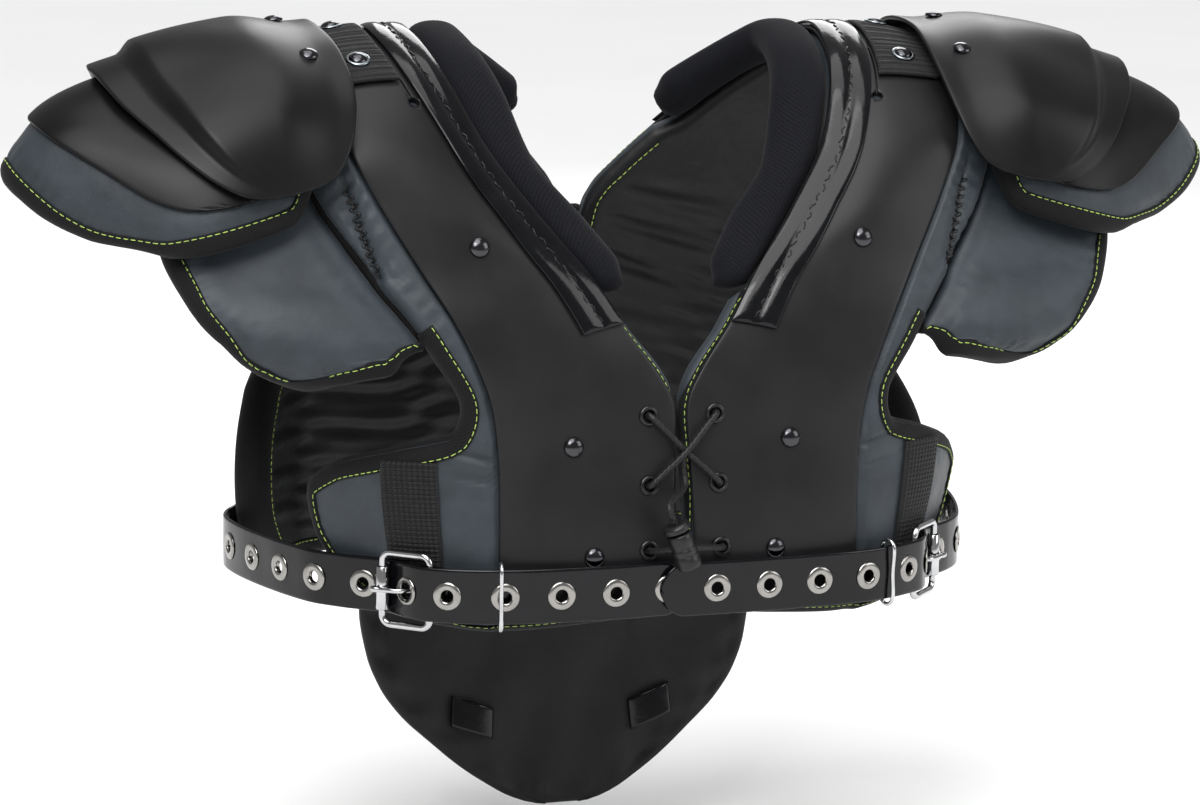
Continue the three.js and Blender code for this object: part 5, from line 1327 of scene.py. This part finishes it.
def add_belts():
    for side, sign in SIDES:
        tip, tip_lift, first, keeper = BELTS[side]
        route = Route(tip, tip_lift)
        prong_hole = first + PITCH * 5 - 5
        at = prong_hole + 1

        def on_belt(d, up=0.0, out=0.0):
            return route.place(d, up, np.asarray(out) + weave(np.asarray(d, float) - at))

        def add(name, part, material=CHROME, slot="chrome"):
            obj = finish_mesh(f"{name}_{side}_skin", mirrored(part, sign), [material])
            return dress(obj, slot, f"{name}_{side}")

        def place(a, b, lift):
            crease = 0.3 * np.sin(a / 5.5 + 2 * np.sin(a / 31)) * np.sin(b * np.pi) * smoothstep(a, 20, 60)
            tail = 1 - np.maximum(0, 1 - a / HALF_BELT) ** 2
            half = HALF_BELT * np.sqrt(np.clip(tail, 0.0, 1)) + 0.3 * (a < HALF_BELT)
            return on_belt(a, (b * 2 - 1) * np.minimum(half, HALF_BELT), lift + crease * 0.5)
        across = np.r_[0, 0.006, 0.025, 0.06, np.linspace(0.12, 0.88, 15), 0.94, 0.975, 0.994, 1]
        belt = add("belt", sheet_from(place, belt_stations(route.length), across, BELT_WALL), VINYL, "vinyl")

        # Five punched grommets on the tail, then the one that takes the prong and five behind it.
        cutters, grommets = [], []
        for start, count in ((first, 5), (prong_hole, 6)):
            for hole in start + PITCH * np.arange(count):
                bore = 3.9 if hole == prong_hole else 2.75
                point, behind, ahead = [on_belt(hole + d, 0.0, BELT_WALL / 2) for d in (0, -3, 3)]
                normal = np.array([ahead[1] - behind[1], behind[0] - ahead[0], 0])
                cutters.append(mirrored(standing(drill(bore + 0.3, 4), point, normal), sign))
                grommets.append(standing(grommet_part(bore), point, normal))
        without(belt, cutters)
        dress(finish_mesh(f"grommets_{side}", mirrored(join(grommets), sign), [NICKEL]), "chrome")

        # The buckle's frame, roller and prong.
        wide, tall = BUCKLE_LENGTH / 2, BUCKLE_HEIGHT / 2
        bar, outer_bar = route.place(at - wide), route.place(at + wide)
        ahead, centre = unit(outer_bar - bar), (bar + outer_bar) / 2
        out = np.array([ahead[1], -ahead[0], 0])
        spot = lambda along, up, lift: centre + ahead * along + out * lift + np.array([0, 0, up])
        rim = []
        for k, (x, z) in enumerate(((1, 1), (-1, 1), (-1, -1), (1, -1))):
            for a in np.radians(k * 90 + np.arange(0, 91, 15)):
                rim.append(spot(x * (wide - BUCKLE_CORNER) + BUCKLE_CORNER * math.cos(a),
                                z * (tall - BUCKLE_CORNER) + BUCKLE_CORNER * math.sin(a), 0.0))
        add("buckle_frame", tube(tidy_path(rim, 1.0, True), WIRE, 14, True))
        long, inner = tall - BUCKLE_CORNER - 2.5, WIRE + 1.6 * GAP
        verts, faces = lathe([
            (inner, -long), (ROLLER - 0.4, -long), (ROLLER, -long + 0.4), (ROLLER, long - 0.4),
            (ROLLER - 0.4, long), (inner, long)], 32)
        add("buckle_roller", (verts + spot(wide, 0, 0), faces))
        over = ROLLER + PRONG_WIRE + GAP
        hole = prong_hole - at
        through = float(weave(np.array(hole))) + BELT_WALL / 2
        knots = [spot(-wide + 1.95, 0, -0.6), spot(hole - 3.4, 0, through - 2.9), spot(hole, 0, through),
                 spot(hole + 3.2, 0, through + 3.4), spot(wide - 1, 0, over), spot(wide + 4, 0, over)]
        line = tidy_path(catmull(knots, np.linspace(0, 1, 160)), 0.5)
        radius = PRONG_WIRE + 0.35 * smoothstep(np.arange(len(line)) / len(line), 0.82, 0.9)
        add("buckle_prong", tube(line, radius, 14))

        # The keeper's wire, and the tab from the buckle's bar back to the plate.
        outside, inside, tall = BELT_WALL + 0.9 + GAP + 0.7, -0.9 - 6 * GAP, 15.25
        middle = (outside + inside) / 2
        knots = [(-tall + 2, outside), (0, outside), (tall - 2, outside), (tall, middle),
                 (tall - 2, inside), (0, inside), (-tall + 2, inside), (-tall, middle)]
        points = [on_belt(prong_hole - PITCH * keeper, up, lift) for up, lift in knots]
        line = catmull(points + points[:4], np.linspace(1 / 11, 9 / 11, 200))[:-1]
        add("keeper_loop", tube(tidy_path(line, 0.9, True), KEEPER_WIRE, 12, True))
        start = at - BUCKLE_LENGTH / 2 - WIRE - 3 * GAP

        def tab(a, b, lift):
            deep = 0.2 + 4.4 * smoothstep(a, 0, 4)
            return route.place(start - a, (b * 2 - 1) * 10.5, lift - deep - TAB_WALL)
        ends = np.array([0, 0.2, 0.6])
        along = np.r_[ends, np.linspace(1.2, TAB_LENGTH - 1.2, 40), TAB_LENGTH - ends[::-1]]
        add("buckle_tab", sheet_from(tab, along, rimmed(10), TAB_WALL), VINYL, "vinyl")


# The flap below the back hem, with the loops on its inner face.
FLAP_TOP, FLAP_DROP, FLAP_HALF = -237.2, 1.36, 4.0
LOOP_DOWN, LOOP_SHARE, LOOP_HALF, LOOP_TURN = 65.0, 0.58, 10, math.radians(28)


def flap_place(down, share, lift):
    depth = np.interp(down, [k[0] for k in FLAP_ROWS], [k[1] for k in FLAP_ROWS])
    half = monotone([k[0] for k in FLAP_ROWS], [k[2] for k in FLAP_ROWS])(down)
    x = share * half * 1.04
    return np.stack([x, depth - 6 * (x / 104) ** 2 - lift, FLAP_TOP - down * FLAP_DROP], -1)


def add_flap():
    down = np.r_[0, 0.15, 0.6, 1.4, np.linspace(2.6, 96.5, 90), 98, 99.2, 99.8, 100]
    share = np.r_[-1, -0.998, -0.992, -0.98, np.linspace(-0.96, 0.96, 90), 0.98, 0.992, 0.998, 1]
    d, s = np.meshgrid(down, share, indexing="ij")
    base = flap_place(d, s, 0.0)
    edge, foot = rim_distance(base)
    x = base[..., 0]
    swell = FLAP_HALF * round_rim(edge, 3.5)
    dart = sum(1.6 * np.exp(-((x - c - 0.04 * d) / 2.6) ** 2) * (1 - smoothstep(d, 26, 44))
               for c in (-92, -35, 36, 92))
    soft_folds = 0.9 * np.sin(x / 13 + 0.05 * d) * np.sin(d / 11)
    soft_folds = soft_folds + 0.6 * np.sin(x / 5.5 + d / 14) * smoothstep(d, 30, 70)
    tucks = 0.8 * np.sin(foot / 4.2) * np.exp(-((edge - 7) / 5) ** 2)
    relief = (dart + soft_folds * 0.8 + tucks) * smoothstep(edge, 1, 8)
    upper, lower = flap_place(d, s, swell - FLAP_HALF - relief), flap_place(d, s, -FLAP_HALF - swell)
    obj = finish_mesh("back_flap_skin", closed_shell(upper, lower, base), [FLAP])
    dress(obj, "lining", "back_flap")
    for side, sign in SIDES:
        spot = lambda down, shift: flap_place(LOOP_DOWN + down, sign * LOOP_SHARE + shift, GAP)
        across, rise = unit(spot(0, 0.1) - spot(0, -0.1)), unit(spot(-5, 0) - spot(5, 0))
        out = np.cross(across, rise)
        out = out if out[1] < 0 else -out
        c, s = math.cos(sign * LOOP_TURN), math.sin(sign * LOOP_TURN)
        u_axis, v_axis = across * c + rise * s, rise * c - across * s

        def loop(a, b, lift):
            u, v = (a * 2 - 1) * LOOP_HALF, (b * 2 - 1) * LOOP_HALF
            height = 4.4 * np.sqrt(np.clip(1 - (a * 2 - 1) ** 2, 0, 1)) + 0.3 + lift
            return spot(0, 0) + u_axis * u[..., None] + v_axis * v[..., None] + out * height[..., None]
        part = sheet_from(loop, rimmed(30, 0.02), rimmed(16, 0.02), 1.4)
        dress(finish_mesh(f"flap_loop_{side}_skin", part, [VINYL]), "vinyl", f"flap_loop_{side}")


# The lace, its lock and the small fasteners. The lock's turned outlines are radius and height.
CORD_RADIUS, LOCK_RADIUS, LOCK_LENGTH = 1.5, 5.7, 22
BARREL = [
    (0, 0), (4.6, 0), (5.3, 0.3), (5.7, 1.0), (5.7, 6.0), (5.35, 6.3), (5.35, 7.0), (5.7, 7.3),
    (5.7, 9.6), (5.35, 9.9), (5.35, 10.6), (5.7, 10.9), (5.7, 16.2), (5.2, 17.0), (2.3, 17.2),
    (2.3, 14), (0, 14),
]
BUTTON = [(2.3, 18.2), (6.0, 18.2), (6.6, 18.7), (6.6, 20.2), (6.1, 21.1), (4.6, 21.7), (2.3, 21.9)]


def lock_place(share):
    """A place on the lock's axis, from its foot at 0 to its button at 1."""
    chest = body.at(1.16, 1.0)
    over = BELT_LIFT + 2 * BELT_WALL + 0.6 + 1.4 + GAP
    foot = np.array([-3, chest[1] - LOCK_RADIUS - over, chest[2] - 5])
    return foot + unit(np.array([-0.36, 0, 0.93])) * share * LOCK_LENGTH


def braid(knots):
    """A braided cord through the knots, its strands crossing in a diamond pattern."""
    line = tidy_path(catmull(np.array(knots, float), np.linspace(0, 1, 400)), 0.36)
    side, other = frames_along(line)[1:]
    a, run = np.meshgrid(angles(20), run_along(line), indexing="xy")
    strands = np.maximum(np.cos(3 * a + run * 2.2), np.cos(3 * a - run * 2.2))
    return ring_mesh(rings_round(line, side, other, CORD_RADIUS * (0.93 + 0.09 * strands)))


def add_lace():
    def hole(name, side, lift):
        return body.at(*EYELETS[name], lift) * [side, 1, 1]
    mix = lambda p, q, share: p * (1 - share) + q * share
    front = body.at(3.0, 1.0)[1]
    middle = (hole("eyelet_top", 1, 0) + hole("eyelet_mid", 1, 0)) / 2
    proud, under = CORD_RADIUS + 0.9 + 0.7, -2.5
    heart = np.array([0, middle[1] - proud, middle[2]])
    parts = []
    for side in (1, -1):
        over = heart - [0, 2.2 if side > 0 else 0, 0]
        parts.append(braid([
            hole("eyelet_top", side, under), hole("eyelet_top", side, proud - 1.2),
            mix(hole("eyelet_top", side, proud + 0.8), heart, 0.35), over,
            mix(hole("eyelet_mid", -side, proud + 0.8), heart, 0.35),
            hole("eyelet_mid", -side, proud - 1.2), hole("eyelet_mid", -side, under)]))
    parts.append(braid([
        heart, [0, front - 1.6, middle[2] - 8], [0, front - 4, middle[2] - 16],
        *[lock_place(share) for share in (1.35, 1.05, 0.8, 0.4)]]))
    for side in (1, -1):
        parts.append(braid([
            hole("eyelet_low", side, under), hole("eyelet_low", side, proud - 0.6),
            mix(hole("eyelet_low", side, proud + 1.6), lock_place(0.45), 0.3), lock_place(0.45)]))
    dress(finish_mesh("lace_skin", join(parts), [CORD]), "cord", "lace")
    foot, axis = lock_place(0.0), lock_place(1.0) - lock_place(0.0)
    for name, profile in (("cord_lock_barrel", BARREL), ("cord_lock_button", BUTTON)):
        dress(finish_mesh(f"{name}_skin", standing(lathe(profile), foot, unit(axis)), [LOCK]), "lock", name)


def rivet_part(radius, height):
    dome = [(radius * math.cos(t), GAP + height * math.sin(t)) for t in np.radians([75, 58, 40, 22, 8])]
    return lathe([(0, GAP + height), *dome, (radius, GAP + 0.15), (radius - 0.2, 0.0), (0, 0.0)])


FLANGE = [
    (2.7, 0.1), (2.9, -2.9), (3.2, -2.9), (3.2, 0.1), (4.6, 0.1), (4.6, 0.5), (4.2, 1.0), (3.5, 1.2),
    (2.95, 1.05), (2.7, 0.6),
]
WASHER_PROFILE = [(3.9, 0.0), (5.7, 0.0), (5.7, 0.35), (5.35, 0.75), (4.7, 0.8), (3.9, 0.7)]
STRAP_RIVETS = {"strap_rivet_front": 0.2, "strap_rivet_top": 0.82}


def add_rivet(name, part):
    both_sides(f"{name}_skin", part, [DARK_METAL], "rivet", name)


def add_fasteners():
    for name, place in EYELETS.items():
        both_sides(f"{name}_skin", stood_on(body, place, lathe(FLANGE)), [EYELET], "eyelet", name)
    for name, place in PLATE_RIVETS.items():
        add_rivet(name, stood_on(body, place, rivet_part(4.6, 2.3)))
    for name, along in STRAP_RIVETS.items():
        spot = lambda da, db: shoulder_webbing(np.array(along + da), np.array(0.27 + db), np.array(2.0))
        normal = unit(np.cross(spot(0, 0.03) - spot(0, -0.03), spot(0.03, 0) - spot(-0.03, 0)))
        add_rivet(name, standing(rivet_part(4.4, 2.2), spot(0, 0), normal))
        washer = standing(lathe(WASHER_PROFILE), spot(0, 0), normal)
        both_sides(f"{name}_washer", washer, [WASHER], "rivet")
    for name, place in CAP_RIVETS.items():
        lift = CAP_LIFT + cap_dome(*map(np.array, place))
        add_rivet(name, stood_on(epaulet, place, rivet_part(4.4, 2.0), lift))


add_plate()
add_body_pad()
add_deltoid()
add_epaulets()
add_neck_roll()
add_neck_trim()
add_webbing()
add_belts()
add_flap()
add_lace()
add_fasteners()


# Floor, lights and surroundings. Each lamp has its place in metres, power and size.
FLOOR_HALF, FLOOR_GAP = 30.0, 0.012
LAMPS = (
    ("key", (-1.2, -1.9, 1.7), 40, 1.2), ("fill", (1.9, -1.4, 0.9), 20, 1.4),
    ("top", (0.0, 0.2, 2.2), 16, 1.4), ("rim", (0.9, 2.0, 1.3), 20, 1.2),
)


def add_stage():
    size, z = FLOOR_HALF, cad_box[0][2] - FLOOR_GAP
    mesh = bpy.data.meshes.new("floor")
    corners = [(x * size, y * size, z) for x, y in ((-1, -1), (1, -1), (1, 1), (-1, 1))]
    mesh.from_pydata(corners, [], [(0, 1, 2, 3)])
    floor = add_object("floor", mesh)
    m = Build("floor", (0.86, 0.86, 0.86), 0.85)
    m.vary_colour(m.noise(1.5, 2), 0.99, 1.01)
    mesh.materials.append(m.material)
    world = bpy.data.worlds.new("world")
    bpy.context.scene.world = world
    world.use_nodes = True
    sky = world.node_tree.nodes["Background"].inputs
    sky["Color"].default_value, sky["Strength"].default_value = (1, 1, 1, 1), 0.32
    sun = bpy.data.lights.new("sun", "SUN")
    sun.energy, sun.angle = 2.6, math.radians(50)
    add_object("sun", sun).rotation_euler = (math.radians(28), math.radians(-14), 0)
    bpy.context.scene.view_settings.view_transform = "Standard"
    for name, where, power, width in LAMPS:
        data = bpy.data.lights.new(name, "AREA")
        data.energy, data.size = power, width
        lamp = add_object(name, data)
        lamp.location = where
        aim = np.array([0, 0, -0.15]) - np.array(where)
        lamp.rotation_euler = Vector(aim.tolist()).to_track_quat("-Z", "Y").to_euler()


add_stage()
